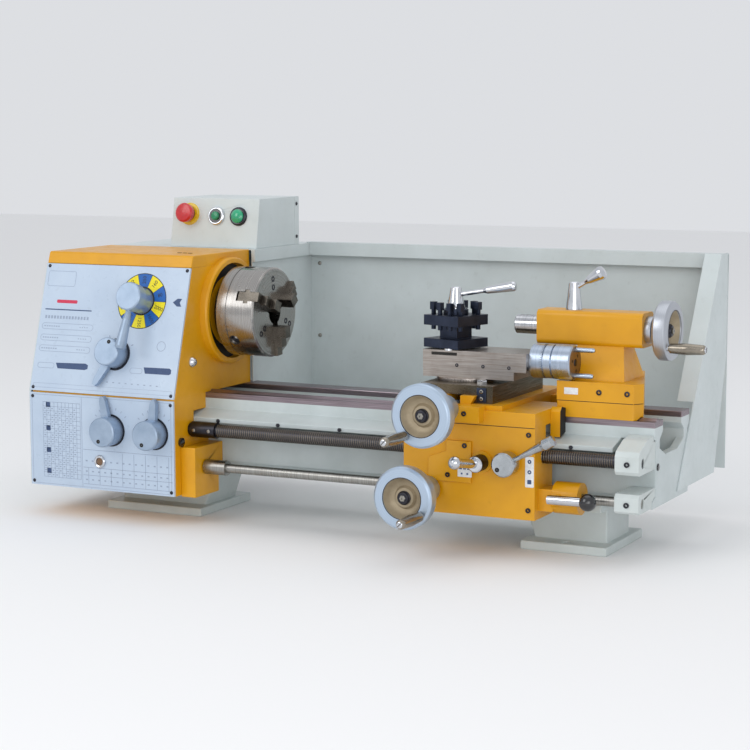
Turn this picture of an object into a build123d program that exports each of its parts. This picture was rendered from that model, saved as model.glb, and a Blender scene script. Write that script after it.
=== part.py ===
from build123d import *
from math import acos, atan2, cos, degrees, pi, radians, sin, sqrt, tan
import os

# Bench lathe. X runs along the bed from the headstock (-X) to the tailstock (+X), the operator
# stands at -Y and Z is up. The origin is the centre of the four bench bolts, on the bench top.
# The spindle axis lies at Y = 0.

# ---------------------------------------------------------------- driving dimensions (mm)
CENTRE_HEIGHT = 140.0        # spindle axis above the bed ways, so a 280 swing
BED_TOP = 225.0              # top of the ways above the bench
BED_LEFT = -505.7            # just right of the headstock's gear compartment
BED_RIGHT = 547.0
BED_FRONT = -79.0            # front edge of the front way
BED_BACK = 101.0             # back edge of the rear way
BED_BOTTOM = 84.0
WAY_WIDTH = 42.0
WAY_THICKNESS = 19.0
BED_WALL = 18.0
LEDGE_FRONT = -120.0         # rail over the leadscrew
LEDGE_BOTTOM = 178.0

FOOT_SPAN = 792.0            # between the bolt rows of the two feet
BOLT_SPREAD = 144.0          # between the front and back bolt of a foot
BOLT_HOLE = 13.0
FOOT_FLANGE = 15.0
FOOT_DEPTH = 180.0
LEFT_FOOT_WIDTH = 199.0
RIGHT_FOOT_WIDTH = 151.0

HEAD_LEFT = -590.0
HEAD_RIGHT = -290.0
HEAD_BACK = 81.0
HEAD_FRONT = -182.0          # front of the gearbox, behind its panel
HEAD_BOTTOM = 53.0
PANEL_BREAK = 222.0          # height where the upper panel starts to lean back
PANEL_TOP = 449.0
PANEL_TOP_FRONT = -118.0
HEAD_TOP = 470.0
HEAD_WALL = 10.0
PANEL_THICKNESS = 4.0

CHUCK_RADIUS = 80.0
CHUCK_REAR = -268.0
CHUCK_FACE = -192.0
CHUCK_BORE = 21.0
SPINDLE_BORE = 13.0
SPINDLE_JOURNAL = 30.0
BEARING_OUTER = 45.0
BEARING_WIDTH = 26.0
JAW_ANGLES = (25.0, -95.0, 145.0)      # from the front, upwards

GEAR_MODULE = 2.5
GEAR_WIDTH = 14.0
SPINDLE_TEETH = 26
IDLER_TEETH = 68
SCREW_GEAR_TEETH = 30
GEAR_POCKET_FLOOR = 160.0    # underside of the compartment round the idler

LEADSCREW_RADIUS = 11.0
FEED_ROD_RADIUS = 8.0
SLEEVE_RADIUS = 14.0         # coupling sleeve of the leadscrew
ROD_Y = -130.0
LEADSCREW_Z = 166.0
FEED_ROD_Z = 101.0
ROD_END = 543.5

APRON_LEFT = 144.0
APRON_RIGHT = 377.0
SELECTOR_X = 286.0
APRON_FRONT = -168.0
APRON_BACK = -92.0
APRON_BOTTOM = 66.0
APRON_TOP = 216.0
APRON_WALL = 8.0
SADDLE_TOP = 248.0
SLIDE_X = 231.0              # centre of the cross slide and axis of its screw
SLIDE_WIDTH = 128.0
SLIDE_FRONT = -150.0
SLIDE_BACK = 70.0
SLIDE_TOP = 277.0
CROSS_SCREW_Z = 243.0
CROSS_SCREW_END = -30.0

WHEEL_RADIUS = 51.5
WHEEL_RIM = 25.0
WHEEL_DISH = 34.0
CRANK_CIRCLE = 42.0
CRANK_LENGTH = 76.0
CROSS_WHEEL_FRONT = -292.0
APRON_WHEEL_X = 191.0
APRON_WHEEL_Z = 105.0
APRON_WHEEL_FRONT = -274.0
RACK_MODULE = 2.0
RACK_PINION_TEETH = 12
RACK_PITCH_Z = 151.0
REDUCTION_MODULE = 1.5
APRON_PINION_TEETH = 20
APRON_GEAR_TEETH = 60

TOOL_Y = -75.0               # centre line of the top slide and axis of its swivel
SWIVEL_X = 216.0
SWIVEL_RADIUS = 50.0
TOP_SLIDE_LEFT = 153.0
TOP_SLIDE_RIGHT = 338.0
TOP_SLIDE_WIDTH = 76.0
TOP_SLIDE_BASE_TOP = 297.0
TOP_SLIDE_TOP = 328.0
TOP_SCREW_Z = 314.0
TOOLPOST_X = 196.0
TOOLPOST_SIDE = 76.0
TOOLPOST_TURN = -18.0        # turned out of square at rest

TAIL_LEFT = 379.0
TAIL_RIGHT = 522.0
TAIL_CORNER = 11.0              # of its base and block, cut off at the front right
TAIL_BACK_RIGHT = 468.0         # right end of its base at the back
TAIL_SEAM = 252.0               # between its base and block
TAIL_BLOCK_TOP = 284.0
BARREL_LEFT = 322.0
BARREL_RIGHT = 506.0
BARREL_HALF = 28.5
QUILL_RADIUS = 16.0
QUILL_END = 276.0
TAIL_WHEEL_FRONT = 552.0
TAIL_WHEEL_RADIUS = 49.0
TAIL_CRANK_LENGTH = 62.5
TAIL_SCREW_END = 385.0

SHEET = 2.0                  # sheet metal of the guard, housing and boxes
SPLASH_BACK_Y = 312.0
SPLASH_TOP = 472.0
SPLASH_LIP = 25.0
SPLASH_LEFT = -284.0
WING_X = 549.3
WING_HEM = 30.0
WING_HEM_START = 162.0       # along the sloping edge, from its lower end
HOUSING_BACK = 320.0
HOUSING_BOTTOM = 180.0
BOX_LEFT = -468.0
BOX_RIGHT = -283.0
BOX_TOP = 561.0
BOX_BACK = 260.0

MOTOR_Y = 172.0
MOTOR_Z = 330.0
MOTOR_RADIUS = 68.0
BELT_X = -552.0              # middle of the belt
BELT_WIDTH = 16.0
SPINDLE_PULLEY = 58.0
MOTOR_PULLEY = 29.0

# ---------------------------------------------------------------- fits
FIT = 0.05                   # radial clearance of a running fit
SLIDE_FIT = 0.05             # clearance between sliding ways
GAP = 0.3                    # between neighbours that do not touch

# ---------------------------------------------------------------- derived
SPINDLE_Z = BED_TOP + CENTRE_HEIGHT
FOOT_X = FOOT_SPAN / 2
LEAN = atan2(PANEL_TOP_FRONT - HEAD_FRONT, PANEL_TOP - PANEL_BREAK)   # of the upper panel
SLIDE_LEFT = SLIDE_X - SLIDE_WIDTH / 2
SLIDE_RIGHT = SLIDE_X + SLIDE_WIDTH / 2
RACK_PINION_RADIUS = RACK_MODULE * RACK_PINION_TEETH / 2
RACK_PINION_Z = RACK_PITCH_Z - RACK_PINION_RADIUS
REDUCTION_DISTANCE = REDUCTION_MODULE * (APRON_PINION_TEETH + APRON_GEAR_TEETH) / 2
RACK_PINION_X = APRON_WHEEL_X + sqrt(REDUCTION_DISTANCE**2 - (RACK_PINION_Z - APRON_WHEEL_Z) ** 2)

made = []


def block(x, y, z, mode=Mode.ADD):
    """A box between the (low, high) pairs x, y and z."""
    with Locations(((x[0] + x[1]) / 2, (y[0] + y[1]) / 2, (z[0] + z[1]) / 2)):
        Box(x[1] - x[0], y[1] - y[0], z[1] - z[0], mode=mode)


def bar(start, axis, radius, length, mode=Mode.ADD):
    """A round bar from start along axis."""
    with Locations(Plane(start, z_dir=axis)):
        Cylinder(radius, length, align=(Align.CENTER, Align.CENTER, Align.MIN), mode=mode)


def ball(centre, radius, mode=Mode.ADD):
    with Locations(centre):
        Sphere(radius, mode=mode)


def along_x(points, x, mode=Mode.ADD):
    """A closed (y, z) outline extruded over the (low, high) pair x."""
    with BuildSketch(Plane.YZ.offset(x[0])) as outline:
        with BuildLine():
            Polyline(*points, close=True)
        make_face()
    extrude(outline.sketch, amount=x[1] - x[0], mode=mode)


def along_y(points, y, mode=Mode.ADD):
    """A closed (x, z) outline extruded over the (low, high) pair y."""
    with BuildSketch(Plane.XZ.offset(-y[1])) as outline:
        with BuildLine():
            Polyline(*points, close=True)
        make_face()
    extrude(outline.sketch, amount=y[1] - y[0], mode=mode)


def turned(origin, axis, points, mode=Mode.ADD):
    """A closed (distance along axis, radius) outline turned about the axis."""
    direction = Vector(*axis).normalized()
    side = Vector(0, 0, 1) if abs(direction.Z) < 0.9 else Vector(1, 0, 0)
    radial = (side - direction * side.dot(direction)).normalized()
    with BuildSketch(Plane(origin, x_dir=direction, z_dir=direction.cross(radial))) as outline:
        with BuildLine():
            Polyline(*points, close=True)
        make_face()
    revolve(outline.sketch, axis=Axis(origin, direction), mode=mode)


def gear(plane, teeth, module, width, bore, phase=0.0):
    """A spur gear on plane, with one tooth centred phase degrees from the plane's x axis."""
    pitch_radius = module * teeth / 2
    rings = (
        (pitch_radius - 1.2 * module, 0.92 * module),
        (pitch_radius, 0.68 * module),
        (pitch_radius + 0.85 * module, 0.33 * module),
    )
    points = []
    for tooth in range(teeth):
        middle = radians(phase + 360 * tooth / teeth)
        flank = [(radius, -half / radius) for radius, half in rings]
        for radius, turn in flank + [(radius, -turn) for radius, turn in reversed(flank)]:
            points.append((radius * cos(middle + turn), radius * sin(middle + turn)))
    with BuildSketch(plane) as outline:
        with BuildLine():
            Polyline(*points, close=True)
        make_face()
        if bore:
            Circle(bore, mode=Mode.SUBTRACT)
    extrude(outline.sketch, amount=width)


def keep(part_builder, label):
    """Names the piece and writes its STEP file."""
    part_builder.part.label = label
    export_step(part_builder.part, f"parts/{label}.step")
    made.append(label)


os.makedirs("parts", exist_ok=True)

# ================================================================ bed and feet
way_bottom = BED_TOP - WAY_THICKNESS
front_wall = (BED_FRONT + 9, BED_FRONT + 9 + BED_WALL)
back_wall = (BED_BACK - 9 - BED_WALL, BED_BACK - 9)
way_inner_front = BED_FRONT + WAY_WIDTH
way_inner_back = BED_BACK - WAY_WIDTH
ledge_left = -308.0 + 4
ledge_right = 491.0

with BuildPart() as bed:
    front_side = (
        (BED_FRONT, BED_TOP),
        (way_inner_front, BED_TOP),
        (way_inner_front, way_bottom),
        (front_wall[1], way_bottom - 12),
        (front_wall[1], BED_BOTTOM),
        (front_wall[0] - 14, BED_BOTTOM),
        (front_wall[0] - 14, BED_BOTTOM + 12),
        (front_wall[0], BED_BOTTOM + 18),
        (front_wall[0], way_bottom - 12),
        (BED_FRONT, way_bottom - 9),
    )
    along_x(front_side, (BED_LEFT, BED_RIGHT))
    back_side = (
        (BED_BACK, BED_TOP),
        (way_inner_back, BED_TOP),
        (way_inner_back, way_bottom),
        (back_wall[0], way_bottom - 12),
        (back_wall[0], BED_BOTTOM),
        (back_wall[1] + 8, BED_BOTTOM),
        (back_wall[1] + 8, BED_BOTTOM + 12),
        (back_wall[1], BED_BOTTOM + 18),
        (back_wall[1], way_bottom - 12),
        (BED_BACK, way_bottom - 4),
    )
    along_x(back_side, (BED_LEFT, BED_RIGHT))
    # rail over the leadscrew
    ledge = (
        (BED_FRONT, way_bottom - 9),
        (LEDGE_FRONT, way_bottom - 20),
        (LEDGE_FRONT, LEDGE_BOTTOM),
        (BED_FRONT, LEDGE_BOTTOM + 2),
        (front_wall[0], LEDGE_BOTTOM + 2),
        (front_wall[0], way_bottom - 12),
    )
    along_x(ledge, (ledge_left, ledge_right))
    # cross ribs between the two walls, open below the ways in the middle
    rib_count = 6
    rib_pitch = (BED_RIGHT - 60 - BED_LEFT - 60) / (rib_count - 1)
    for rib in range(rib_count):
        rib_x = BED_LEFT + 60 + rib * rib_pitch
        block((rib_x - 7, rib_x + 7), (front_wall[1] - 1, back_wall[0] + 1), (BED_BOTTOM, way_bottom - 22))
    # inverted V on the front way that guides the carriage
    v_middle = BED_FRONT + 14
    v_way = ((v_middle - 7, BED_TOP), (v_middle, BED_TOP + 5), (v_middle + 7, BED_TOP))
    along_x(v_way, (HEAD_RIGHT + 4, BED_RIGHT))
    # web joining the walls at the right-hand end, hollow in the middle
    end_web = (
        (front_wall[1] - 1, BED_BOTTOM),
        (back_wall[0] + 1, BED_BOTTOM),
        (back_wall[0] + 1, way_bottom - 26),
        (back_wall[0] - 34, way_bottom - 40),
        (front_wall[1] + 30, way_bottom - 40),
        (front_wall[1] - 1, way_bottom - 26),
    )
    along_x(end_web, (BED_RIGHT - 14, BED_RIGHT))
keep(bed, "bed")


def foot(centre_x, width, flare):
    """A hollow pedestal on a bolted flange, under the bed. flare widens its top towards flare's side."""
    half = width / 2
    with BuildPart() as pedestal:
        block((centre_x - half, centre_x + half), (-FOOT_DEPTH / 2, FOOT_DEPTH / 2), (0, FOOT_FLANGE))
        waist = ((centre_x - half + 12, FOOT_FLANGE), (centre_x + half - 12, FOOT_FLANGE))
        top_left = centre_x - half + 12 - (flare if flare > 0 else 0)
        top_right = centre_x + half - 12 - (flare if flare < 0 else 0)
        outline = (waist[0], waist[1], (top_right, BED_BOTTOM), (top_left, BED_BOTTOM))
        along_y(outline, (-FOOT_DEPTH / 2 + 36, FOOT_DEPTH / 2 - 36))
        block((top_left, top_right), (front_wall[0] - 14, back_wall[1] + 8), (BED_BOTTOM - 14, BED_BOTTOM))
        # core of the casting, open to the bench
        inner_half = half - 30
        block((centre_x - inner_half, centre_x + inner_half), (-FOOT_DEPTH / 2 + 48, FOOT_DEPTH / 2 - 48),
              (-1, BED_BOTTOM - 22), mode=Mode.SUBTRACT)
        with Locations((centre_x, -BOLT_SPREAD / 2, -1), (centre_x, BOLT_SPREAD / 2, -1)):
            Cylinder(BOLT_HOLE / 2, FOOT_FLANGE + 2, align=(Align.CENTER, Align.CENTER, Align.MIN),
                     mode=Mode.SUBTRACT)
    return pedestal


foot_left = foot(-FOOT_X, LEFT_FOOT_WIDTH, -24)
keep(foot_left, "foot_left")
foot_right = foot(FOOT_X, RIGHT_FOOT_WIDTH, 24)
keep(foot_right, "foot_right")

# ================================================================ headstock
lean_run = PANEL_TOP_FRONT - HEAD_FRONT
lean_rise = PANEL_TOP - PANEL_BREAK
lean_length = sqrt(lean_run**2 + lean_rise**2)
panel_up = Vector(0, lean_run / lean_length, lean_rise / lean_length)
panel_out = Vector(0, -lean_rise / lean_length, lean_run / lean_length)
gear_x = (HEAD_LEFT + 6, HEAD_LEFT + 6 + GEAR_WIDTH)
inner_wall_x = (-506.0, -490.0)
ring_outer = 96.0
ring_inner = 86.0
ring_front = -276.0


def head_outline(inset, bottom):
    """Side outline of the headstock above bottom, taken in by inset."""
    shift = inset / cos(LEAN)
    return (
        (HEAD_FRONT + (bottom - PANEL_BREAK) * tan(LEAN) + shift, bottom),
        (PANEL_TOP_FRONT + shift, PANEL_TOP),
        (HEAD_BACK - inset, PANEL_TOP),
        (HEAD_BACK - inset, bottom),
    )


def knob_bore(origin, axis, radius):
    """Bore through a panel for a knob's shaft."""
    bar(Vector(*origin) - Vector(*axis) * 30, axis, radius, 60, mode=Mode.SUBTRACT)


KNOB_SHAFT = 8.0
front_out = Vector(0, -1, 0)
knob_left_at = (-421.0, HEAD_FRONT - PANEL_THICKNESS, 162.0)
knob_right_at = (-331.0, HEAD_FRONT - PANEL_THICKNESS, 162.0)
sight_at = (-445.0, HEAD_FRONT - PANEL_THICKNESS, 105.0)


def on_panel(x, height):
    """The point of the upper panel's outer face at x and height."""
    along = (height - PANEL_BREAK) / lean_rise
    return Vector(x, HEAD_FRONT + along * lean_run, height) + panel_out * PANEL_THICKNESS


speed_at = on_panel(-382.0, 388.0)
range_at = on_panel(-421.0, 294.0)

spindle_gear_radius = GEAR_MODULE * SPINDLE_TEETH / 2
idler_radius = GEAR_MODULE * IDLER_TEETH / 2
screw_gear_radius = GEAR_MODULE * SCREW_GEAR_TEETH / 2
reach_spindle = spindle_gear_radius + idler_radius
reach_screw = idler_radius + screw_gear_radius
axis_distance = sqrt(ROD_Y**2 + (SPINDLE_Z - LEADSCREW_Z) ** 2)
to_screw = atan2(LEADSCREW_Z - SPINDLE_Z, ROD_Y)
bend = acos((reach_spindle**2 + axis_distance**2 - reach_screw**2) / (2 * reach_spindle * axis_distance))
to_idler = to_screw + bend
idler_y = reach_spindle * cos(to_idler)
idler_z = SPINDLE_Z + reach_spindle * sin(to_idler)
idler_to_screw = atan2(LEADSCREW_Z - idler_z, ROD_Y - idler_y)
idler_pitch = 360 / IDLER_TEETH
idler_phase = degrees(to_idler) + 180 + idler_pitch / 2
mesh_offset = (idler_phase - degrees(idler_to_screw)) % idler_pitch
screw_gear_phase = (degrees(idler_to_screw) + 180 - mesh_offset * idler_radius / screw_gear_radius
                    + 180 / SCREW_GEAR_TEETH)

with BuildPart() as headstock_casting:
    along_x(head_outline(0, BED_TOP), (HEAD_LEFT, HEAD_RIGHT))
    # gear and belt compartment, open to the left, and the spindle compartment, open on top
    along_x(head_outline(HEAD_WALL, BED_TOP + 12), (HEAD_LEFT - 1, inner_wall_x[0]), mode=Mode.SUBTRACT)
    block((HEAD_LEFT - 1, inner_wall_x[0] - HEAD_WALL), (HEAD_FRONT + 14, HEAD_BACK - HEAD_WALL),
          (BED_TOP - 1, BED_TOP + 20), mode=Mode.SUBTRACT)
    # the compartment dips beside the bed's end to clear the idler
    block((HEAD_LEFT, inner_wall_x[0]), (front_wall[0], HEAD_BACK), (GEAR_POCKET_FLOOR, BED_TOP))
    block((HEAD_LEFT - 1, inner_wall_x[0] - HEAD_WALL), (front_wall[0] - 1, HEAD_BACK - HEAD_WALL),
          (GEAR_POCKET_FLOOR + HEAD_WALL, BED_TOP + 1), mode=Mode.SUBTRACT)
    block((inner_wall_x[1], HEAD_RIGHT - 16), (PANEL_TOP_FRONT + 2, HEAD_BACK - HEAD_WALL),
          (BED_TOP + 16, PANEL_TOP + 1), mode=Mode.SUBTRACT)
    # belt way through the back wall
    block((BELT_X - 20, BELT_X + 20), (HEAD_BACK - HEAD_WALL - 1, HEAD_BACK + 1),
          (MOTOR_Z - 60, SPINDLE_Z + 72), mode=Mode.SUBTRACT)
    # bearing bosses, and the ring round the back of the chuck
    bar((HEAD_RIGHT - 30, 0, SPINDLE_Z), (1, 0, 0), BEARING_OUTER + 12, 16)
    bar((inner_wall_x[0], 0, SPINDLE_Z), (1, 0, 0), BEARING_OUTER + 10, 30)
    turned((HEAD_RIGHT, 0, SPINDLE_Z), (1, 0, 0),
           ((0, ring_inner), (0, ring_outer), (ring_front - HEAD_RIGHT - 3, ring_outer),
            (ring_front - HEAD_RIGHT, ring_outer - 3), (ring_front - HEAD_RIGHT, ring_inner)))
    # bores of the spindle and its bearings
    bar((inner_wall_x[0] - 1, 0, SPINDLE_Z), (1, 0, 0), SPINDLE_JOURNAL + 6,
        HEAD_RIGHT - inner_wall_x[0] + 2, mode=Mode.SUBTRACT)
    bar((HEAD_RIGHT - 30 - GAP, 0, SPINDLE_Z), (1, 0, 0), BEARING_OUTER, BEARING_WIDTH + GAP,
        mode=Mode.SUBTRACT)
    bar((inner_wall_x[1] + 14 - BEARING_WIDTH, 0, SPINDLE_Z), (1, 0, 0), BEARING_OUTER, BEARING_WIDTH + 1,
        mode=Mode.SUBTRACT)
    # bores for the shafts of the two upper controls
    for place in (speed_at, range_at):
        knob_bore(place, panel_out, KNOB_SHAFT + FIT)
    # stud that carries the idler gear
    bar((gear_x[0], idler_y, idler_z), (1, 0, 0), 10.0, inner_wall_x[0] - gear_x[0] + 1)
keep(headstock_casting, "headstock_casting")

with BuildPart() as headstock_cover:
    cover_front = PANEL_TOP_FRONT - 4
    cover = ((cover_front, PANEL_TOP), (cover_front + 6, HEAD_TOP - 3), (cover_front + 9, HEAD_TOP),
             (HEAD_BACK, HEAD_TOP), (HEAD_BACK, PANEL_TOP))
    along_x(cover, (HEAD_LEFT - 4, HEAD_RIGHT))
    # hollowed from below, with a rim that seats on the casting
    block((HEAD_LEFT + 12, HEAD_RIGHT - 12), (PANEL_TOP_FRONT + 14, HEAD_BACK - 12),
          (PANEL_TOP - 1, HEAD_TOP - 6), mode=Mode.SUBTRACT)
keep(headstock_cover, "headstock_cover")


with BuildPart() as upper_panel:
    low = Vector(0, HEAD_FRONT, PANEL_BREAK)
    high = Vector(0, PANEL_TOP_FRONT, PANEL_TOP)
    plate = [low + panel_up * 1.5, high - panel_up * 1.5, high - panel_up * 1.5 + panel_out * PANEL_THICKNESS,
             low + panel_up * 1.5 + panel_out * PANEL_THICKNESS]
    along_x([(corner.Y, corner.Z) for corner in plate], (HEAD_LEFT - 4, HEAD_RIGHT - 1))
    for place in (speed_at, range_at):
        knob_bore(place, panel_out, KNOB_SHAFT + FIT)
keep(upper_panel, "upper_panel")

# quick-change gearbox under the headstock's front
with BuildPart() as gearbox_casing:
    block((HEAD_LEFT, HEAD_RIGHT), (HEAD_FRONT, front_wall[0] - 14 - GAP), (HEAD_BOTTOM, BED_BOTTOM + 18))
    block((HEAD_LEFT, HEAD_RIGHT), (HEAD_FRONT, front_wall[0]), (BED_BOTTOM + 18, way_bottom - 12))
    block((HEAD_LEFT, HEAD_RIGHT), (HEAD_FRONT, BED_FRONT), (way_bottom - 12, BED_TOP))
    # front top edge leans back with the upper panel
    lean_edge = ((HEAD_FRONT - 1, PANEL_BREAK), (HEAD_FRONT, PANEL_BREAK),
                 (HEAD_FRONT + 4 * tan(LEAN), PANEL_BREAK + 4), (HEAD_FRONT - 1, PANEL_BREAK + 4))
    along_x(lean_edge, (HEAD_LEFT - 1, HEAD_RIGHT + 1), mode=Mode.SUBTRACT)
    block((ledge_left - GAP, HEAD_RIGHT + 1), (LEDGE_FRONT - GAP, BED_FRONT + 10),
          (LEDGE_BOTTOM - GAP, way_bottom - 9 + GAP), mode=Mode.SUBTRACT)
    # gear space behind the panel, and the end-gear space open to the left
    block((inner_wall_x[0], HEAD_RIGHT - 14), (HEAD_FRONT - 1, BED_FRONT - 14), (HEAD_BOTTOM + 12, BED_TOP - 14),
          mode=Mode.SUBTRACT)
    block((HEAD_LEFT - 1, inner_wall_x[0] - HEAD_WALL), (HEAD_FRONT + 8, BED_FRONT - 2),
          (HEAD_BOTTOM + 12, BED_TOP + 1), mode=Mode.SUBTRACT)
    block((HEAD_LEFT - 1, inner_wall_x[0] - HEAD_WALL), (BED_FRONT - 3, front_wall[0] + 1),
          (GEAR_POCKET_FLOOR + HEAD_WALL, BED_TOP + 1), mode=Mode.SUBTRACT)
    for height, radius in ((LEADSCREW_Z, LEADSCREW_RADIUS), (FEED_ROD_Z, FEED_ROD_RADIUS)):
        bar((HEAD_LEFT - 1, ROD_Y, height), (1, 0, 0), radius + FIT, HEAD_RIGHT - HEAD_LEFT + 2,
            mode=Mode.SUBTRACT)
keep(gearbox_casing, "gearbox_casing")

with BuildPart() as lower_panel:
    block((HEAD_LEFT - 4, HEAD_RIGHT - 1), (HEAD_FRONT - PANEL_THICKNESS, HEAD_FRONT),
          (HEAD_BOTTOM, PANEL_BREAK - 1))
    for place in (knob_left_at, knob_right_at):
        knob_bore(place, front_out, KNOB_SHAFT + FIT)
    # seat of the oil sight glass
    bar(sight_at, (0, 1, 0), 11.0, 2, mode=Mode.SUBTRACT)
keep(lower_panel, "lower_panel")

hinge_x = HEAD_LEFT - 8.6
hinge_y = HEAD_BACK + 5
with BuildPart() as end_cover:
    block((HEAD_LEFT - 8, HEAD_LEFT - 4 - GAP), (HEAD_FRONT, HEAD_BACK), (HEAD_BOTTOM, PANEL_TOP))
    cut_corner = ((HEAD_FRONT - 1, PANEL_BREAK), (PANEL_TOP_FRONT, PANEL_TOP + 1), (HEAD_FRONT - 1, PANEL_TOP + 1))
    along_x(cut_corner, (HEAD_LEFT - 9, HEAD_LEFT), mode=Mode.SUBTRACT)
    # hinge knuckles at the back edge
    for height in (150.0, 380.0):
        bar((hinge_x, hinge_y, height), (0, 0, 1), 4.0, 40)
        block((HEAD_LEFT - 8, HEAD_LEFT - 5), (HEAD_BACK - 1, hinge_y), (height, height + 40))
keep(end_cover, "end_cover")

# ---------------------------------------------------------------- spindle line
pulley_x = (BELT_X - BELT_WIDTH / 2 - 4, BELT_X + BELT_WIDTH / 2 + 4)
with BuildPart() as spindle:
    tail = HEAD_LEFT + 2
    flange = CHUCK_REAR - 12
    outline = ((0, SPINDLE_BORE), (0, 19), (pulley_x[1] - tail, 19), (pulley_x[1] - tail, 24),
               (inner_wall_x[1] - 20 - tail, 24), (inner_wall_x[1] - 20 - tail, SPINDLE_JOURNAL),
               (flange - tail, SPINDLE_JOURNAL), (flange - tail, 62), (CHUCK_REAR - tail, 62),
               (CHUCK_REAR - tail, 36), (CHUCK_REAR + 6 - tail, 36), (CHUCK_REAR + 6 - tail, SPINDLE_BORE))
    turned((tail, 0, SPINDLE_Z), (1, 0, 0), outline)
keep(spindle, "spindle")

with BuildPart() as spindle_bearings:
    for left in (inner_wall_x[1] + 14 - BEARING_WIDTH, HEAD_RIGHT - 30):
        turned((left, 0, SPINDLE_Z), (1, 0, 0),
               ((0, SPINDLE_JOURNAL + FIT), (0, BEARING_OUTER), (BEARING_WIDTH, BEARING_OUTER),
                (BEARING_WIDTH, SPINDLE_JOURNAL + FIT)))
keep(spindle_bearings, "spindle_bearings")


def pulley(centre, radius, bore, mode=Mode.ADD):
    """A grooved pulley for the ribbed belt, between two low flanges."""
    half = BELT_WIDTH / 2
    points = [(-half - 4, bore), (-half - 4, radius + 2), (-half - 1, radius + 2), (-half - 1, radius)]
    points += [(half + 1, radius), (half + 1, radius + 2), (half + 4, radius + 2), (half + 4, bore)]
    turned(centre, (1, 0, 0), points, mode=mode)


with BuildPart() as spindle_pulley:
    pulley((BELT_X, 0, SPINDLE_Z), SPINDLE_PULLEY, 19.0)
keep(spindle_pulley, "spindle_pulley")

with BuildPart() as spindle_gear:
    gear(Plane((gear_x[0], 0, SPINDLE_Z), x_dir=(0, 1, 0), z_dir=(1, 0, 0)), SPINDLE_TEETH, GEAR_MODULE,
         GEAR_WIDTH, 19.0, degrees(to_idler))
keep(spindle_gear, "spindle_gear")

with BuildPart() as idler_gear:
    gear(Plane((gear_x[0], idler_y, idler_z), x_dir=(0, 1, 0), z_dir=(1, 0, 0)), IDLER_TEETH, GEAR_MODULE,
         GEAR_WIDTH, 10 + FIT, idler_phase)
    turned((gear_x[0], idler_y, idler_z), (1, 0, 0), ((3, 20), (3, 70), (-1, 70), (-1, 20)), mode=Mode.SUBTRACT)
keep(idler_gear, "idler_gear")

# ---------------------------------------------------------------- chuck
slot_half = 9.0
with BuildPart() as chuck_body:
    turned((CHUCK_REAR, 0, SPINDLE_Z), (1, 0, 0),
           ((0, 36 + FIT), (0, CHUCK_RADIUS - 2), (2, CHUCK_RADIUS), (20, CHUCK_RADIUS), (20, CHUCK_RADIUS - 1),
            (22, CHUCK_RADIUS - 1), (22, CHUCK_RADIUS), (CHUCK_FACE - CHUCK_REAR - 3, CHUCK_RADIUS),
            (CHUCK_FACE - CHUCK_REAR, CHUCK_RADIUS - 3), (CHUCK_FACE - CHUCK_REAR, CHUCK_BORE),
            (8, CHUCK_BORE), (8, 36 + FIT)))
    # room for the scroll plate
    turned((CHUCK_REAR, 0, SPINDLE_Z), (1, 0, 0), ((24, 30), (24, 66), (38, 66), (38, 30)), mode=Mode.SUBTRACT)
    for angle in JAW_ANGLES:
        outwards = Vector(0, -cos(radians(angle)), sin(radians(angle)))
        seat = Plane((CHUCK_FACE, 0, SPINDLE_Z), x_dir=outwards, z_dir=(1, 0, 0))
        with BuildSketch(seat.offset(1)):
            with Locations((CHUCK_RADIUS / 2 + 10, 0)):
                Rectangle(CHUCK_RADIUS + 20, 2 * slot_half)
        extrude(amount=-(CHUCK_FACE - CHUCK_REAR - 38 - 2 + 1), mode=Mode.SUBTRACT)
        with BuildSketch(seat.offset(-12)):
            with Locations((CHUCK_RADIUS / 2 + 10, 0)):
                Rectangle(CHUCK_RADIUS + 20, 2 * slot_half + 8)
        extrude(amount=-9, mode=Mode.SUBTRACT)
        # square socket of the chuck key, between the jaws
        key_angle = radians(angle + 60)
        key_out = Vector(0, -cos(key_angle), sin(key_angle))
        key_seat = Plane(Vector(CHUCK_REAR + 31, 0, SPINDLE_Z) + key_out * (CHUCK_RADIUS + 1), x_dir=(1, 0, 0),
                         z_dir=key_out)
        with BuildSketch(key_seat):
            Circle(10)
        extrude(amount=-11, mode=Mode.SUBTRACT)
keep(chuck_body, "chuck_body")

with BuildPart() as chuck_scroll:
    turned((CHUCK_REAR, 0, SPINDLE_Z), (1, 0, 0),
           ((24 + GAP, 30 + FIT), (24 + GAP, 65), (34, 65), (34, 30 + FIT)))
keep(chuck_scroll, "chuck_scroll")

for number, angle in enumerate(JAW_ANGLES, start=1):
    outwards = Vector(0, -cos(radians(angle)), sin(radians(angle)))
    seat = Plane((CHUCK_FACE, 0, SPINDLE_Z), x_dir=outwards, z_dir=(1, 0, 0))
    with BuildPart() as jaw:
        half = slot_half - SLIDE_FIT
        # (radial start, radial end, height above the face) of the stem and the steps
        for start, end, base, top in ((25, 78, -34, 0), (25, 78, 0, 7), (25, 62, 7, 16), (25, 45, 16, 25)):
            with BuildSketch(seat.offset(base)):
                with Locations(((start + end) / 2, 0)):
                    Rectangle(end - start, 2 * half)
            extrude(amount=top - base)
        with BuildSketch(seat.offset(-21 + SLIDE_FIT)):
            with Locations(((25 + 78) / 2, 0)):
                Rectangle(78 - 25, 2 * (half + 4))
        extrude(amount=9 - 2 * SLIDE_FIT)
    keep(jaw, f"chuck_jaw_{number}")

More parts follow.
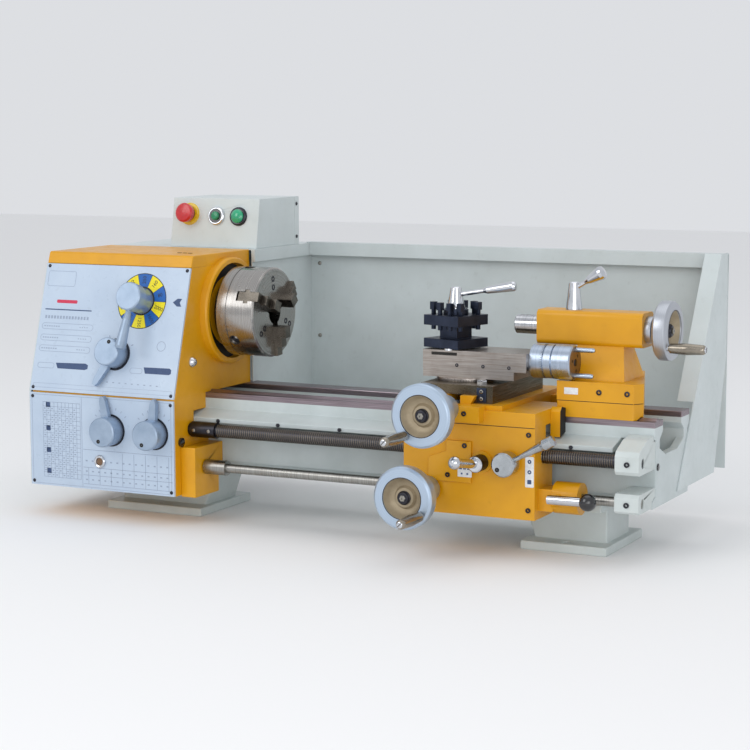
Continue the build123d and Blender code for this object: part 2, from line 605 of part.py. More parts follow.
# ---------------------------------------------------------------- motor and belt
housing_left = HEAD_LEFT - 4
housing_right = SPLASH_LEFT
motor_right = -320.0
motor_left = -515.0
with BuildPart() as motor:
    bar((motor_left, MOTOR_Y, MOTOR_Z), (1, 0, 0), MOTOR_RADIUS, motor_right - motor_left)
    # cooling fins
    for index in range(24):
        angle = radians(index * 15 + 7.5)
        with Locations(Plane((motor_left + 30, MOTOR_Y, MOTOR_Z), x_dir=(0, cos(angle), sin(angle)),
                             z_dir=(1, 0, 0))):
            with Locations((MOTOR_RADIUS + 2, 0, (motor_right - motor_left - 60) / 2)):
                Box(8, 3, motor_right - motor_left - 60)
    # foot against the headstock's back wall
    block((motor_left + 30, motor_right - 30), (HEAD_BACK, MOTOR_Y - 50), (MOTOR_Z - 45, MOTOR_Z - 30))
    block((motor_left + 30, motor_right - 30), (HEAD_BACK, HEAD_BACK + 8), (MOTOR_Z - 75, MOTOR_Z + 20))
    bar((motor_left - 1, MOTOR_Y, MOTOR_Z), (1, 0, 0), 9 + FIT, 60, mode=Mode.SUBTRACT)
keep(motor, "motor")

with BuildPart() as motor_pulley:
    pulley((BELT_X, MOTOR_Y, MOTOR_Z), MOTOR_PULLEY, 8.0)
    bar((BELT_X - 14, MOTOR_Y, MOTOR_Z), (1, 0, 0), 9.0, motor_left + 50 - BELT_X + 14)
keep(motor_pulley, "motor_pulley")


def on_circle(centre_y, centre_z, radius, angle):
    """The (Y, Z) point of a circle at an angle."""
    return (centre_y + radius * cos(angle), centre_z + radius * sin(angle))


with BuildPart() as drive_belt:
    belt_inner = FIT + 0.05
    centres = ((0, SPINDLE_Z, SPINDLE_PULLEY), (MOTOR_Y, MOTOR_Z, MOTOR_PULLEY))
    span = sqrt(MOTOR_Y**2 + (MOTOR_Z - SPINDLE_Z) ** 2)
    heading = atan2(MOTOR_Z - SPINDLE_Z, MOTOR_Y)
    wrap = acos((SPINDLE_PULLEY - MOTOR_PULLEY) / span)

    with BuildSketch(Plane.YZ.offset(BELT_X - BELT_WIDTH / 2)):
        for extra, mode in ((belt_inner + 4, Mode.ADD), (belt_inner, Mode.SUBTRACT)):
            big = SPINDLE_PULLEY + extra
            small = MOTOR_PULLEY + extra
            over_spindle = on_circle(0, SPINDLE_Z, big, heading + wrap)
            over_motor = on_circle(MOTOR_Y, MOTOR_Z, small, heading + wrap)
            under_motor = on_circle(MOTOR_Y, MOTOR_Z, small, heading - wrap)
            under_spindle = on_circle(0, SPINDLE_Z, big, heading - wrap)
            with BuildLine():
                Line(over_spindle, over_motor)
                ThreePointArc(over_motor, on_circle(MOTOR_Y, MOTOR_Z, small, heading), under_motor)
                Line(under_motor, under_spindle)
                ThreePointArc(under_spindle, on_circle(0, SPINDLE_Z, big, heading + pi), over_spindle)
            make_face(mode=mode)
    extrude(amount=BELT_WIDTH)
keep(drive_belt, "drive_belt")

with BuildPart() as rear_housing:
    block((housing_left, housing_right), (HEAD_BACK + GAP, HOUSING_BACK), (HOUSING_BOTTOM, HEAD_TOP))
    block((housing_left + SHEET, housing_right - SHEET), (HEAD_BACK - 1, HOUSING_BACK - SHEET),
          (HOUSING_BOTTOM - 1, HEAD_TOP - SHEET), mode=Mode.SUBTRACT)
    # louvres in the back
    for row in range(6):
        block((-500, -380), (HOUSING_BACK - SHEET - 1, HOUSING_BACK + 1), (250 + row * 18, 256 + row * 18),
              mode=Mode.SUBTRACT)
    # its right side carries on below as the guard's left end, with the same lip on top
    block((housing_right - SHEET, housing_right), (HEAD_BACK + GAP, HOUSING_BACK), (BED_TOP + 8, HEAD_TOP))
    block((housing_right - SHEET, housing_right + 6), (HEAD_BACK + GAP, SPLASH_BACK_Y - 20 - GAP),
          (SPLASH_TOP - SPLASH_LIP, SPLASH_TOP - 2))
    # clear of the bed's back way and of the ring behind the chuck
    block((BED_LEFT - 1, housing_right + 1), (HEAD_BACK - 1, BED_BACK + 1), (HOUSING_BOTTOM - 1, BED_TOP + GAP),
          mode=Mode.SUBTRACT)
    bar((housing_right - 10, 0, SPINDLE_Z), (1, 0, 0), ring_outer + GAP, 20, mode=Mode.SUBTRACT)
keep(rear_housing, "rear_housing")

# ---------------------------------------------------------------- control box
box_front_low = 95.0
box_front_high = 110.0
seam_y = 243.0
box_lean = atan2(box_front_high - box_front_low, BOX_TOP - HEAD_TOP)
box_out = Vector(0, -cos(box_lean), sin(box_lean))


def on_box(x, height):
    """The point of the control box's front at x and height."""
    return Vector(x, box_front_low + (height - HEAD_TOP) * tan(box_lean), height)


button_places = (on_box(-431.0, 531.0), on_box(-372.0, 528.0), on_box(-325.0, 528.0))
with BuildPart() as electrical_box:
    outer = ((box_front_low, HEAD_TOP), (box_front_high, BOX_TOP), (seam_y, BOX_TOP), (seam_y, HEAD_TOP))
    inner = ((box_front_low + SHEET, HEAD_TOP + SHEET), (box_front_high + SHEET, BOX_TOP - SHEET),
             (seam_y + 1, BOX_TOP - SHEET), (seam_y + 1, HEAD_TOP + SHEET))
    along_x(outer, (BOX_LEFT, BOX_RIGHT))
    along_x(inner, (BOX_LEFT + SHEET, BOX_RIGHT - SHEET), mode=Mode.SUBTRACT)
    for place in button_places:
        bar(place - box_out * 10, box_out, 9.0, 20, mode=Mode.SUBTRACT)
keep(electrical_box, "electrical_box")

with BuildPart() as electrical_box_cover:
    block((BOX_LEFT, BOX_RIGHT), (seam_y + GAP, BOX_BACK), (HEAD_TOP, BOX_TOP))
    block((BOX_LEFT + SHEET, BOX_RIGHT - SHEET), (seam_y - 1, BOX_BACK - SHEET),
          (HEAD_TOP + SHEET, BOX_TOP - SHEET), mode=Mode.SUBTRACT)
keep(electrical_box_cover, "electrical_box_cover")

# collars that hold the two buttons and the lamp in the box's front
collar_radii = (13.0, 13.5, 14.0)
stem_radii = (6.0, 8.0, 0.0)
with BuildPart() as button_collars:
    for place, radius, stem in zip(button_places, collar_radii, stem_radii):
        bore = stem + FIT if stem else 0
        turned(place - box_out * 12, box_out, ((0, bore), (0, 8.9), (12, 8.9), (12, radius), (17, radius), (17, bore)))
    # domed lens of the lamp
    turned(button_places[2] + box_out * 4.5, box_out, ((0, 0), (0, 12), (4, 11), (7, 7), (8, 0)))
keep(button_collars, "button_collars")

ESTOP_TRAVEL = 5.0
START_TRAVEL = 3.0
with BuildPart() as estop_button:
    turned(button_places[0] - box_out * 14, box_out,
           ((0, 0), (0, 6), (14 + 17 - 12 + ESTOP_TRAVEL + 2, 6), (14 + 17 - 12 + ESTOP_TRAVEL + 2, 17),
            (36, 18), (39, 15), (40.5, 8), (41, 0)))
keep(estop_button, "estop_button")

with BuildPart() as start_button:
    turned(button_places[1] - box_out * 14, box_out, ((0, 0), (0, 8), (14 + 5 + START_TRAVEL, 8), (24, 6), (24.5, 0)))
keep(start_button, "start_button")

# ---------------------------------------------------------------- knobs and levers of the headstock


def lever_knob(origin, outwards, radius, depth, shaft, lever_angle, reach):
    """A round knob with a shaft into the panel and a flat lever across its foot."""
    out = Vector(*outwards).normalized()
    turned(Vector(*origin) - out * shaft, out,
           ((0, 0), (0, KNOB_SHAFT), (shaft + GAP, KNOB_SHAFT), (shaft + GAP, radius), (shaft + depth - 2, radius),
            (shaft + depth, radius - 2), (shaft + depth, 0)))
    side = Vector(1, 0, 0)
    up = out.cross(side)
    turn = radians(lever_angle)
    heading = side * cos(turn) + up * sin(turn)
    foot_plane = Plane(Vector(*origin) + out * 4, x_dir=heading, z_dir=out)
    with BuildSketch(foot_plane) as flat:
        with BuildLine():
            Polyline((0, -9), (reach - 8, -6), (reach, -3), (reach, 3), (reach - 8, 6), (0, 9), close=True)
        make_face()
    extrude(flat.sketch, amount=9)


with BuildPart() as gear_knob_left:
    lever_knob(knob_left_at, (0, -1, 0), 26, 32, 20, 100, 62)
keep(gear_knob_left, "gear_knob_left")

with BuildPart() as gear_knob_right:
    lever_knob(knob_right_at, (0, -1, 0), 26, 32, 20, 84, 62)
keep(gear_knob_right, "gear_knob_right")

with BuildPart() as range_lever:
    lever_knob(range_at, panel_out, 25, 34, 20, -118, 66)
keep(range_lever, "range_lever")

with BuildPart() as speed_handle:
    turned(speed_at - panel_out * 20, panel_out,
           ((0, 0), (0, KNOB_SHAFT), (20.3, KNOB_SHAFT), (20.3, 23), (40, 20), (46, 20), (46, 25), (66, 25), (68, 23),
            (68, 0)))
    grip_start = speed_at + panel_out * 34
    grip_dir = (panel_up * -1 + panel_out * 0.16).normalized()
    turned(grip_start, grip_dir, ((0, 0), (0, 5), (28, 5), (42, 7.5), (92, 10), (96, 7), (97, 0)))
keep(speed_handle, "speed_handle")

# ================================================================ splash guard
with BuildPart() as splash_back:
    back = SPLASH_BACK_Y
    low_z = 90.0
    block((SPLASH_LEFT, WING_X - SHEET - GAP), (back, back + SHEET), (low_z, SPLASH_TOP))
    # folded lip along the top
    block((SPLASH_LEFT, WING_X - SHEET - GAP), (back - 20, back), (SPLASH_TOP - SHEET, SPLASH_TOP))
    block((SPLASH_LEFT, WING_X - SHEET - GAP), (back - 20, back - 20 + SHEET), (SPLASH_TOP - SPLASH_LIP, SPLASH_TOP))
keep(splash_back, "splash_back")

wing_outline = ((262.0, 474.0), (300.0, 474.0), (300.0, 290.0), (240.0, 94.0), (37.0, 94.0))
with BuildPart() as splash_right:
    along_x(wing_outline, (WING_X - SHEET, WING_X))
    # hem along the front edge, from above the bed's back way up
    edge = Vector(0, wing_outline[0][0] - wing_outline[-1][0], wing_outline[0][1] - wing_outline[-1][1]).normalized()
    hem_start = Vector(WING_X - WING_HEM, *wing_outline[-1]) + edge * WING_HEM_START
    hem_length = (wing_outline[0][1] - hem_start.Z) / edge.Z
    hem_plane = Plane(hem_start, x_dir=(1, 0, 0), z_dir=(0, -edge.Z, edge.Y))
    with BuildSketch(hem_plane):
        with Locations(((WING_HEM - SHEET) / 2, hem_length / 2)):
            Rectangle(WING_HEM - SHEET, hem_length)
    extrude(amount=-SHEET)
keep(splash_right, "splash_right")

# ================================================================ leadscrew, feed rod, rack
bracket_left = BED_RIGHT - 42
screw_start = HEAD_LEFT + 4
with BuildPart() as leadscrew:
    bar((screw_start, ROD_Y, LEADSCREW_Z), (1, 0, 0), LEADSCREW_RADIUS, bracket_left - GAP - screw_start)
    bar((bracket_left - 1, ROD_Y, LEADSCREW_Z), (1, 0, 0), LEADSCREW_RADIUS - 3, ROD_END - bracket_left + 1)
    # coupling sleeve beside the gearbox, and the end gear cut on the screw's tail
    bar((HEAD_RIGHT + 4, ROD_Y, LEADSCREW_Z), (1, 0, 0), SLEEVE_RADIUS, 50)
    gear(Plane((gear_x[0], ROD_Y, LEADSCREW_Z), x_dir=(0, 1, 0), z_dir=(1, 0, 0)), SCREW_GEAR_TEETH,
         GEAR_MODULE, GEAR_WIDTH, 0, screw_gear_phase)
keep(leadscrew, "leadscrew")

with BuildPart() as feed_rod:
    bar((inner_wall_x[0] - 10, ROD_Y, FEED_ROD_Z), (1, 0, 0), FEED_ROD_RADIUS, ROD_END - inner_wall_x[0] + 10)
    bar((-259.0, ROD_Y, FEED_ROD_Z), (1, 0, 0), 13.0, 43)
keep(feed_rod, "feed_rod")

with BuildPart() as feed_drive_box:
    block((HEAD_RIGHT, -261), (-165, front_wall[0] - 14 - GAP), (50, BED_BOTTOM + 18))
    block((HEAD_RIGHT, -261), (-165, front_wall[0]), (BED_BOTTOM + 18, 138))
    bar((HEAD_RIGHT - 1, ROD_Y, FEED_ROD_Z), (1, 0, 0), FEED_ROD_RADIUS + FIT, 60, mode=Mode.SUBTRACT)
keep(feed_drive_box, "feed_drive_box")

with BuildPart() as rod_end_brackets:
    upper = ((BED_FRONT, way_bottom - 12), (front_wall[0], way_bottom - 12), (front_wall[0], 148),
             (-146, 148), (-151, 154), (-151, 178), (-146, 186), (-112, 200), (BED_FRONT, 204))
    along_x(upper, (bracket_left, BED_RIGHT - 1))
    bar((BED_RIGHT - 50, ROD_Y, LEADSCREW_Z), (1, 0, 0), LEADSCREW_RADIUS - 3 + FIT, 60, mode=Mode.SUBTRACT)
    lower = ((front_wall[0], 118), (front_wall[0], BED_BOTTOM + 18 + GAP), (front_wall[0] - 14, BED_BOTTOM + 12 + GAP),
             (front_wall[0] - 14 - GAP, BED_BOTTOM + 2), (-146, BED_BOTTOM + 2), (-151, 90), (-151, 112), (-146, 118))
    along_x(lower, (bracket_left, BED_RIGHT - 1))
    bar((BED_RIGHT - 50, ROD_Y, FEED_ROD_Z), (1, 0, 0), FEED_ROD_RADIUS + FIT, 60, mode=Mode.SUBTRACT)
    block((ledge_right - 40, ledge_right + GAP), (LEDGE_FRONT - GAP, BED_FRONT + 1),
          (LEDGE_BOTTOM - GAP, way_bottom), mode=Mode.SUBTRACT)
keep(rod_end_brackets, "rod_end_brackets")

rack_left = APRON_LEFT - 300.0
rack_right = BED_RIGHT - 60
rack_y = (front_wall[0] - 15, front_wall[0])
with BuildPart() as gear_rack:
    tooth_pitch = pi * RACK_MODULE
    first = round((rack_left - RACK_PINION_X) / tooth_pitch)
    last = int((rack_right - RACK_PINION_X) / tooth_pitch)
    tip = RACK_PITCH_Z - 0.85 * RACK_MODULE
    root = RACK_PITCH_Z + 1.15 * RACK_MODULE
    points = [(RACK_PINION_X + (first - 0.5) * tooth_pitch, root + 14)]
    for tooth in range(first, last + 1):
        # a gap of the rack is centred over the pinion's top tooth
        middle = RACK_PINION_X + (tooth + 0.5) * tooth_pitch
        points += [(middle - 0.95 * RACK_MODULE, root), (middle - 0.3 * RACK_MODULE, tip),
                   (middle + 0.3 * RACK_MODULE, tip), (middle + 0.95 * RACK_MODULE, root)]
    points.append((RACK_PINION_X + (last + 1.5) * tooth_pitch, root))
    points.append((RACK_PINION_X + (last + 1.5) * tooth_pitch, root + 14))
    points.insert(1, (RACK_PINION_X + (first - 0.5) * tooth_pitch, root))
    along_y(points, rack_y)
keep(gear_rack, "gear_rack")

# ================================================================ carriage
way_clear = SLIDE_FIT
slide_dove_low = 30.0
slide_dove_high = 38.0
dove_rise = 13.0
bridge = (SLIDE_LEFT - 22, SLIDE_RIGHT + 22)
with BuildPart() as saddle:
    # wings over the front and back ways, and the bridge between them
    block((APRON_LEFT, APRON_RIGHT), (APRON_FRONT, BED_FRONT + WAY_WIDTH + 6), (BED_TOP, 240))
    block((APRON_LEFT, APRON_RIGHT), (APRON_FRONT, BED_FRONT - GAP), (APRON_TOP, BED_TOP))
    block((APRON_LEFT + 30, APRON_RIGHT - 40), (BED_BACK - WAY_WIDTH - 6, BED_BACK + 8), (BED_TOP, 240))
    block(bridge, (APRON_FRONT + 6, BED_BACK + 8), (BED_TOP + 2, SADDLE_TOP))
    # wiper and its bracket at the right of the front way
    wiper = ((BED_FRONT - 2, 240), (-95, 243), (-102, 236), (-102, 194), (BED_FRONT - 2, 200))
    along_x(wiper, (APRON_RIGHT + FIT, APRON_RIGHT + 17))
    # keep the bed's ways and guiding ridge clear
    v_room = ((v_middle - 8, BED_TOP - 1), (v_middle - 8, BED_TOP + way_clear), (v_middle, BED_TOP + 6.2),
              (v_middle + 8, BED_TOP + way_clear), (v_middle + 8, BED_TOP - 1))
    block((APRON_LEFT - 1, APRON_RIGHT + 20), (BED_FRONT - GAP, BED_BACK + 0.2), (BED_TOP - 1, BED_TOP + way_clear),
          mode=Mode.SUBTRACT)
    along_x(v_room, (APRON_LEFT - 1, APRON_RIGHT + 20), mode=Mode.SUBTRACT)
    # rear gib strip under the back way
    block((APRON_LEFT + 30, APRON_RIGHT - 40), (BED_BACK + 0.2, BED_BACK + 8), (way_bottom - 20, BED_TOP + 5))
    block((APRON_LEFT + 30, APRON_RIGHT - 40), (BED_BACK - 6, BED_BACK + 8), (way_bottom - 20, way_bottom - 13))
    # dovetail for the cross slide
    dovetail = ((SLIDE_X - slide_dove_low, SADDLE_TOP), (SLIDE_X + slide_dove_low, SADDLE_TOP),
                (SLIDE_X + slide_dove_high, SADDLE_TOP + dove_rise), (SLIDE_X - slide_dove_high, SADDLE_TOP + dove_rise))
    along_y(dovetail, (APRON_FRONT + 6, BED_BACK + 8))
    # channel for the cross-feed screw
    block((SLIDE_X - 12, SLIDE_X + 12), (APRON_FRONT - 1, BED_BACK + 9), (CROSS_SCREW_Z - 12, SADDLE_TOP + dove_rise + 1),
          mode=Mode.SUBTRACT)
    # bracket that holds the screw's front end
    block((SLIDE_X - 57, SLIDE_X + 57), (-190, APRON_FRONT + 6), (222, SADDLE_TOP - GAP))
    bar((SLIDE_X, -191, CROSS_SCREW_Z), (0, 1, 0), 9 + FIT, 40, mode=Mode.SUBTRACT)
keep(saddle, "saddle")

with BuildPart() as apron:
    block((APRON_LEFT, APRON_RIGHT), (APRON_FRONT, APRON_BACK), (APRON_BOTTOM, APRON_TOP))
    # open at the back, with clear room for the ledge, screw, rod, rack and gears
    block((APRON_LEFT + APRON_WALL, APRON_RIGHT - APRON_WALL), (APRON_FRONT + APRON_WALL, APRON_BACK + 1),
          (APRON_BOTTOM + APRON_WALL, APRON_TOP + 1), mode=Mode.SUBTRACT)
    block((APRON_LEFT - 1, APRON_RIGHT + 1), (LEDGE_FRONT - 2, APRON_BACK + 1), (LEADSCREW_Z - 14, APRON_TOP + 1),
          mode=Mode.SUBTRACT)
    for height, radius in ((LEADSCREW_Z, LEADSCREW_RADIUS), (FEED_ROD_Z, FEED_ROD_RADIUS)):
        bar((APRON_LEFT - 1, ROD_Y, height), (1, 0, 0), radius + 1, APRON_RIGHT - APRON_LEFT + 2,
            mode=Mode.SUBTRACT)
    # bearing bosses of the handwheel and pinion shafts
    for x, z, radius in ((APRON_WHEEL_X, APRON_WHEEL_Z, 9.0), (333.0, 158.0, 9.0), (SELECTOR_X, 156.0, 9.0)):
        bar((x, APRON_FRONT - 6, z), (0, 1, 0), radius + 9, 6 + APRON_WALL)
        bar((x, APRON_FRONT - 7, z), (0, 1, 0), radius + FIT, 8 + APRON_WALL, mode=Mode.SUBTRACT)
    bar((RACK_PINION_X, APRON_FRONT + APRON_WALL - 5, RACK_PINION_Z), (0, 1, 0), 5 + FIT, 6, mode=Mode.SUBTRACT)
    # pedestal that guides the half nut, behind the screw's front side
    block((316, 350), (APRON_FRONT + APRON_WALL, -148), (APRON_BOTTOM + APRON_WALL, LEADSCREW_Z - 30))
    # housing round the feed rod at the right, with its mounting block
    block((APRON_RIGHT, 402), (-152, -108), (80, 116))
    bar((400, ROD_Y, FEED_ROD_Z), (1, 0, 0), 26.0, 44)
    bar((APRON_RIGHT - 1, ROD_Y, FEED_ROD_Z), (1, 0, 0), FEED_ROD_RADIUS + 0.5, 70, mode=Mode.SUBTRACT)
    # boss for the direction lever's pivot
    bar((412, -150, FEED_ROD_Z + 2), (0, -1, 0), 8.0, 9)
    bar((412, -145, FEED_ROD_Z + 2), (0, -1, 0), 4 + FIT, 15, mode=Mode.SUBTRACT)
keep(apron, "apron")

with BuildPart() as direction_lever:
    pivot = (412, -159 - GAP, FEED_ROD_Z + 2)
    bar(pivot, (0, -1, 0), 7.0, 9)
    bar((412, -159 - GAP, FEED_ROD_Z + 2), (0, 1, 0), 4.0, 12)
    bar((400, -168, FEED_ROD_Z + 2), (1, -0.05, 0.02), 7.5, 60)
    ball((468, -170, FEED_ROD_Z + 3), 13.5)
keep(direction_lever, "direction_lever")


def handwheel(centre, outwards, rim, shaft, shaft_radius, crank_angle, crank, dial):
    """A dished handwheel with its hub, shaft, graduated dial and crank handle.
    centre is the middle of the rim's front face and rim its radius; crank_angle is measured in that face's
    plane, crank is the handle's length and dial the length of the dial behind the hub."""
    out = Vector(*outwards)
    origin = Vector(*centre)
    back = -WHEEL_RIM
    outline = ((0, WHEEL_DISH), (0, rim - 4), (-4, rim), (back + 4, rim),
               (back, rim - 4), (back, WHEEL_DISH - 6), (back - 4, 20), (back - 10, 14),
               (back - 10, shaft_radius - 0.5), (back + 14, shaft_radius - 0.5), (back + 14, 15), (back + 8, 18),
               (back + 6, WHEEL_DISH))
    turned(origin, out, outline)
    turned(origin, out, ((-shaft, 0), (-shaft, shaft_radius), (back + 16, shaft_radius), (back + 20, 8), (back + 20, 0)))
    if dial:
        turned(origin, out, ((back - 10 - dial, shaft_radius - 1), (back - 10 - dial, 22), (back - 10, 22),
                             (back - 10, shaft_radius - 1)))
    side = Vector(0, 0, 1).cross(out)
    up = out.cross(side)
    spot = origin + side * (CRANK_CIRCLE * cos(radians(crank_angle))) + up * (CRANK_CIRCLE * sin(radians(crank_angle)))
    turned(spot, out, ((-20, 0), (-20, 5), (4, 5), (4, 8), (crank / 2, 9.5), (crank - 3, 8),
                       (crank, 6), (crank, 0)))


bracket_front = -190.0
with BuildPart() as cross_handwheel:
    wheel_back = CROSS_WHEEL_FRONT + WHEEL_RIM + 10
    handwheel((SLIDE_X, CROSS_WHEEL_FRONT, CROSS_SCREW_Z), (0, -1, 0), WHEEL_RADIUS, CROSS_SCREW_END - CROSS_WHEEL_FRONT,
              8.0, 231, CRANK_LENGTH, bracket_front - wheel_back - GAP)
    bar((SLIDE_X, bracket_front - 4, CROSS_SCREW_Z), (0, 1, 0), 9.0, 30)
keep(cross_handwheel, "cross_handwheel")

with BuildPart() as apron_handwheel:
    apron_boss_front = APRON_FRONT - 6
    wheel_back = APRON_WHEEL_FRONT + WHEEL_RIM + 10
    handwheel((APRON_WHEEL_X, APRON_WHEEL_FRONT, APRON_WHEEL_Z), (0, -1, 0), WHEEL_RADIUS,
              -APRON_WHEEL_FRONT + APRON_FRONT + 10, 9.0, -38, CRANK_LENGTH, apron_boss_front - wheel_back - GAP)
    gear(Plane((APRON_WHEEL_X, APRON_FRONT + APRON_WALL + 2 + 12, APRON_WHEEL_Z), x_dir=(1, 0, 0), z_dir=(0, -1, 0)),
         APRON_PINION_TEETH, REDUCTION_MODULE, 12, 0,
         degrees(atan2(RACK_PINION_Z - APRON_WHEEL_Z, RACK_PINION_X - APRON_WHEEL_X)))
keep(apron_handwheel, "apron_handwheel")

with BuildPart() as rack_pinion:
    mesh_angle = degrees(atan2(RACK_PINION_Z - APRON_WHEEL_Z, RACK_PINION_X - APRON_WHEEL_X))
    gear_face = Plane((RACK_PINION_X, APRON_FRONT + APRON_WALL + 2 + 11, RACK_PINION_Z), x_dir=(1, 0, 0),
                      z_dir=(0, -1, 0))
    gear(gear_face, APRON_GEAR_TEETH, REDUCTION_MODULE, 10, 0, mesh_angle + 180 + 180 / APRON_GEAR_TEETH)
    bar((RACK_PINION_X, APRON_FRONT + APRON_WALL - 4, RACK_PINION_Z), (0, 1, 0), 5.0,
        rack_y[1] - GAP - APRON_FRONT - APRON_WALL + 4)
    pinion_face = Plane((RACK_PINION_X, rack_y[1] - 1, RACK_PINION_Z), x_dir=(1, 0, 0), z_dir=(0, -1, 0))
    gear(pinion_face, RACK_PINION_TEETH, RACK_MODULE, rack_y[1] - rack_y[0] - 1, 0, 90)
keep(rack_pinion, "rack_pinion")

NUT_LIFT = 8.0
with BuildPart() as half_nut:
    nut_top = LEADSCREW_Z - NUT_LIFT
    block((320, 346), (-148 + GAP, ROD_Y + 16), (nut_top - 26, nut_top))
    bar((319, ROD_Y, nut_top), (1, 0, 0), LEADSCREW_RADIUS + FIT, 28, mode=Mode.SUBTRACT)
keep(half_nut, "half_nut")

with BuildPart() as half_nut_lever:
    hub_at = (333.0, APRON_FRONT - 6 - GAP, 158.0)
    turned(hub_at, (0, -1, 0), ((-14, 0), (-14, 9), (0, 9), (0, 20), (22, 20), (24, 18), (24, 0)))
    turned(Vector(*hub_at) + Vector(8, -12, 4), (0.86, -0.18, 0.46),
           ((0, 0), (0, 5), (24, 4.2), (70, 8), (76, 10), (92, 9), (94, 0)))
keep(half_nut_lever, "half_nut_lever")

with BuildPart() as feed_selector:
    boss = (SELECTOR_X, APRON_FRONT - 6 - GAP, 156.0)
    turned(boss, (0, -1, 0), ((-13, 0), (-13, 9), (0, 9), (0, 13), (26, 13), (28, 11), (28, 0)))
    selector_dir = Vector(-0.3, -0.93, 0.16).normalized()
    selector_root = Vector(*boss) + Vector(0, -20, 0)
    bar(selector_root, selector_dir, 7.5, 46)
    ball(selector_root + selector_dir * 52, 11.0)
keep(feed_selector, "feed_selector")

# ---------------------------------------------------------------- cross slide and top slide
with BuildPart() as cross_slide:
    block((SLIDE_LEFT, SLIDE_RIGHT), (SLIDE_FRONT, SLIDE_BACK), (SADDLE_TOP + SLIDE_FIT, SLIDE_TOP))
    flare = SLIDE_FIT * 1.4
    female = ((SLIDE_X - slide_dove_low - flare, SADDLE_TOP - 1), (SLIDE_X - slide_dove_low - flare, SADDLE_TOP),
              (SLIDE_X - slide_dove_high - flare, SADDLE_TOP + dove_rise + SLIDE_FIT),
              (SLIDE_X + slide_dove_high + flare, SADDLE_TOP + dove_rise + SLIDE_FIT),
              (SLIDE_X + slide_dove_low + flare, SADDLE_TOP), (SLIDE_X + slide_dove_low + flare, SADDLE_TOP - 1))
    along_y(female, (SLIDE_FRONT - 1, SLIDE_BACK + 1), mode=Mode.SUBTRACT)
    # feed nut hanging into the saddle's channel
    block((SLIDE_X - 11, SLIDE_X + 11), (-95, -67), (CROSS_SCREW_Z - 11, SADDLE_TOP + dove_rise + 1))
    bar((SLIDE_X, -96, CROSS_SCREW_Z), (0, 1, 0), 8 + FIT, 30, mode=Mode.SUBTRACT)
    # socket for the swivel's spigot
    bar((SWIVEL_X, TOOL_Y, SLIDE_TOP + 1), (0, 0, -1), 20 + FIT, 13, mode=Mode.SUBTRACT)
keep(cross_slide, "cross_slide")

swivel_top = TOP_SLIDE_BASE_TOP - 14.0
with BuildPart() as swivel_base:
    bar((SWIVEL_X, TOOL_Y, SLIDE_TOP + 1), (0, 0, -1), 20.0, 12)
    bar((SWIVEL_X, TOOL_Y, SLIDE_TOP + SLIDE_FIT), (0, 0, 1), SWIVEL_RADIUS, swivel_top - SLIDE_TOP - SLIDE_FIT)
    block((TOP_SLIDE_LEFT, TOP_SLIDE_RIGHT - 22), (TOOL_Y - 37, TOOL_Y + 37), (swivel_top, TOP_SLIDE_BASE_TOP))
    tool_dove = ((TOOL_Y - 16, TOP_SLIDE_BASE_TOP), (TOOL_Y + 16, TOP_SLIDE_BASE_TOP), (TOOL_Y + 21, TOP_SLIDE_BASE_TOP + 9),
                 (TOOL_Y - 21, TOP_SLIDE_BASE_TOP + 9))
    along_x(tool_dove, (TOP_SLIDE_LEFT, TOP_SLIDE_RIGHT - 22))
    # nut for the top slide's screw, standing in the slide's tunnel
    block((262, 276), (TOOL_Y - 9, TOOL_Y + 9), (TOP_SLIDE_BASE_TOP + 8, TOP_SCREW_Z + 9))
    bar((261, TOOL_Y, TOP_SCREW_Z), (1, 0, 0), 5 + FIT, 16, mode=Mode.SUBTRACT)
keep(swivel_base, "swivel_base")

with BuildPart() as top_slide:
    block((TOP_SLIDE_LEFT, TOP_SLIDE_RIGHT), (TOOL_Y - TOP_SLIDE_WIDTH / 2, TOOL_Y + TOP_SLIDE_WIDTH / 2),
          (TOP_SLIDE_BASE_TOP + SLIDE_FIT, TOP_SLIDE_TOP))
    tool_female = ((TOOL_Y - 16 - flare, TOP_SLIDE_BASE_TOP - 1), (TOOL_Y - 16 - flare, TOP_SLIDE_BASE_TOP),
                   (TOOL_Y - 21 - flare, TOP_SLIDE_BASE_TOP + 9 + SLIDE_FIT),
                   (TOOL_Y + 21 + flare, TOP_SLIDE_BASE_TOP + 9 + SLIDE_FIT),
                   (TOOL_Y + 16 + flare, TOP_SLIDE_BASE_TOP), (TOOL_Y + 16 + flare, TOP_SLIDE_BASE_TOP - 1))
    along_x(tool_female, (TOP_SLIDE_LEFT - 1, TOP_SLIDE_RIGHT + 1), mode=Mode.SUBTRACT)
    # tunnel for the nut and screw
    block((TOP_SLIDE_LEFT - 1, TOP_SLIDE_RIGHT - 12), (TOOL_Y - 10, TOOL_Y + 10), (TOP_SLIDE_BASE_TOP + 1, TOP_SCREW_Z + 10),
          mode=Mode.SUBTRACT)
    bar((TOP_SLIDE_RIGHT - 13, TOOL_Y, TOP_SCREW_Z), (1, 0, 0), 6 + FIT, 20, mode=Mode.SUBTRACT)
    # seat and stud of the toolpost
    bar((TOOLPOST_X, TOOL_Y, TOP_SLIDE_TOP - 2), (0, 0, 1), 14.0, 4)
    bar((TOOLPOST_X, TOOL_Y, TOP_SLIDE_TOP - 2), (0, 0, 1), 8.0, 76)
keep(top_slide, "top_slide")

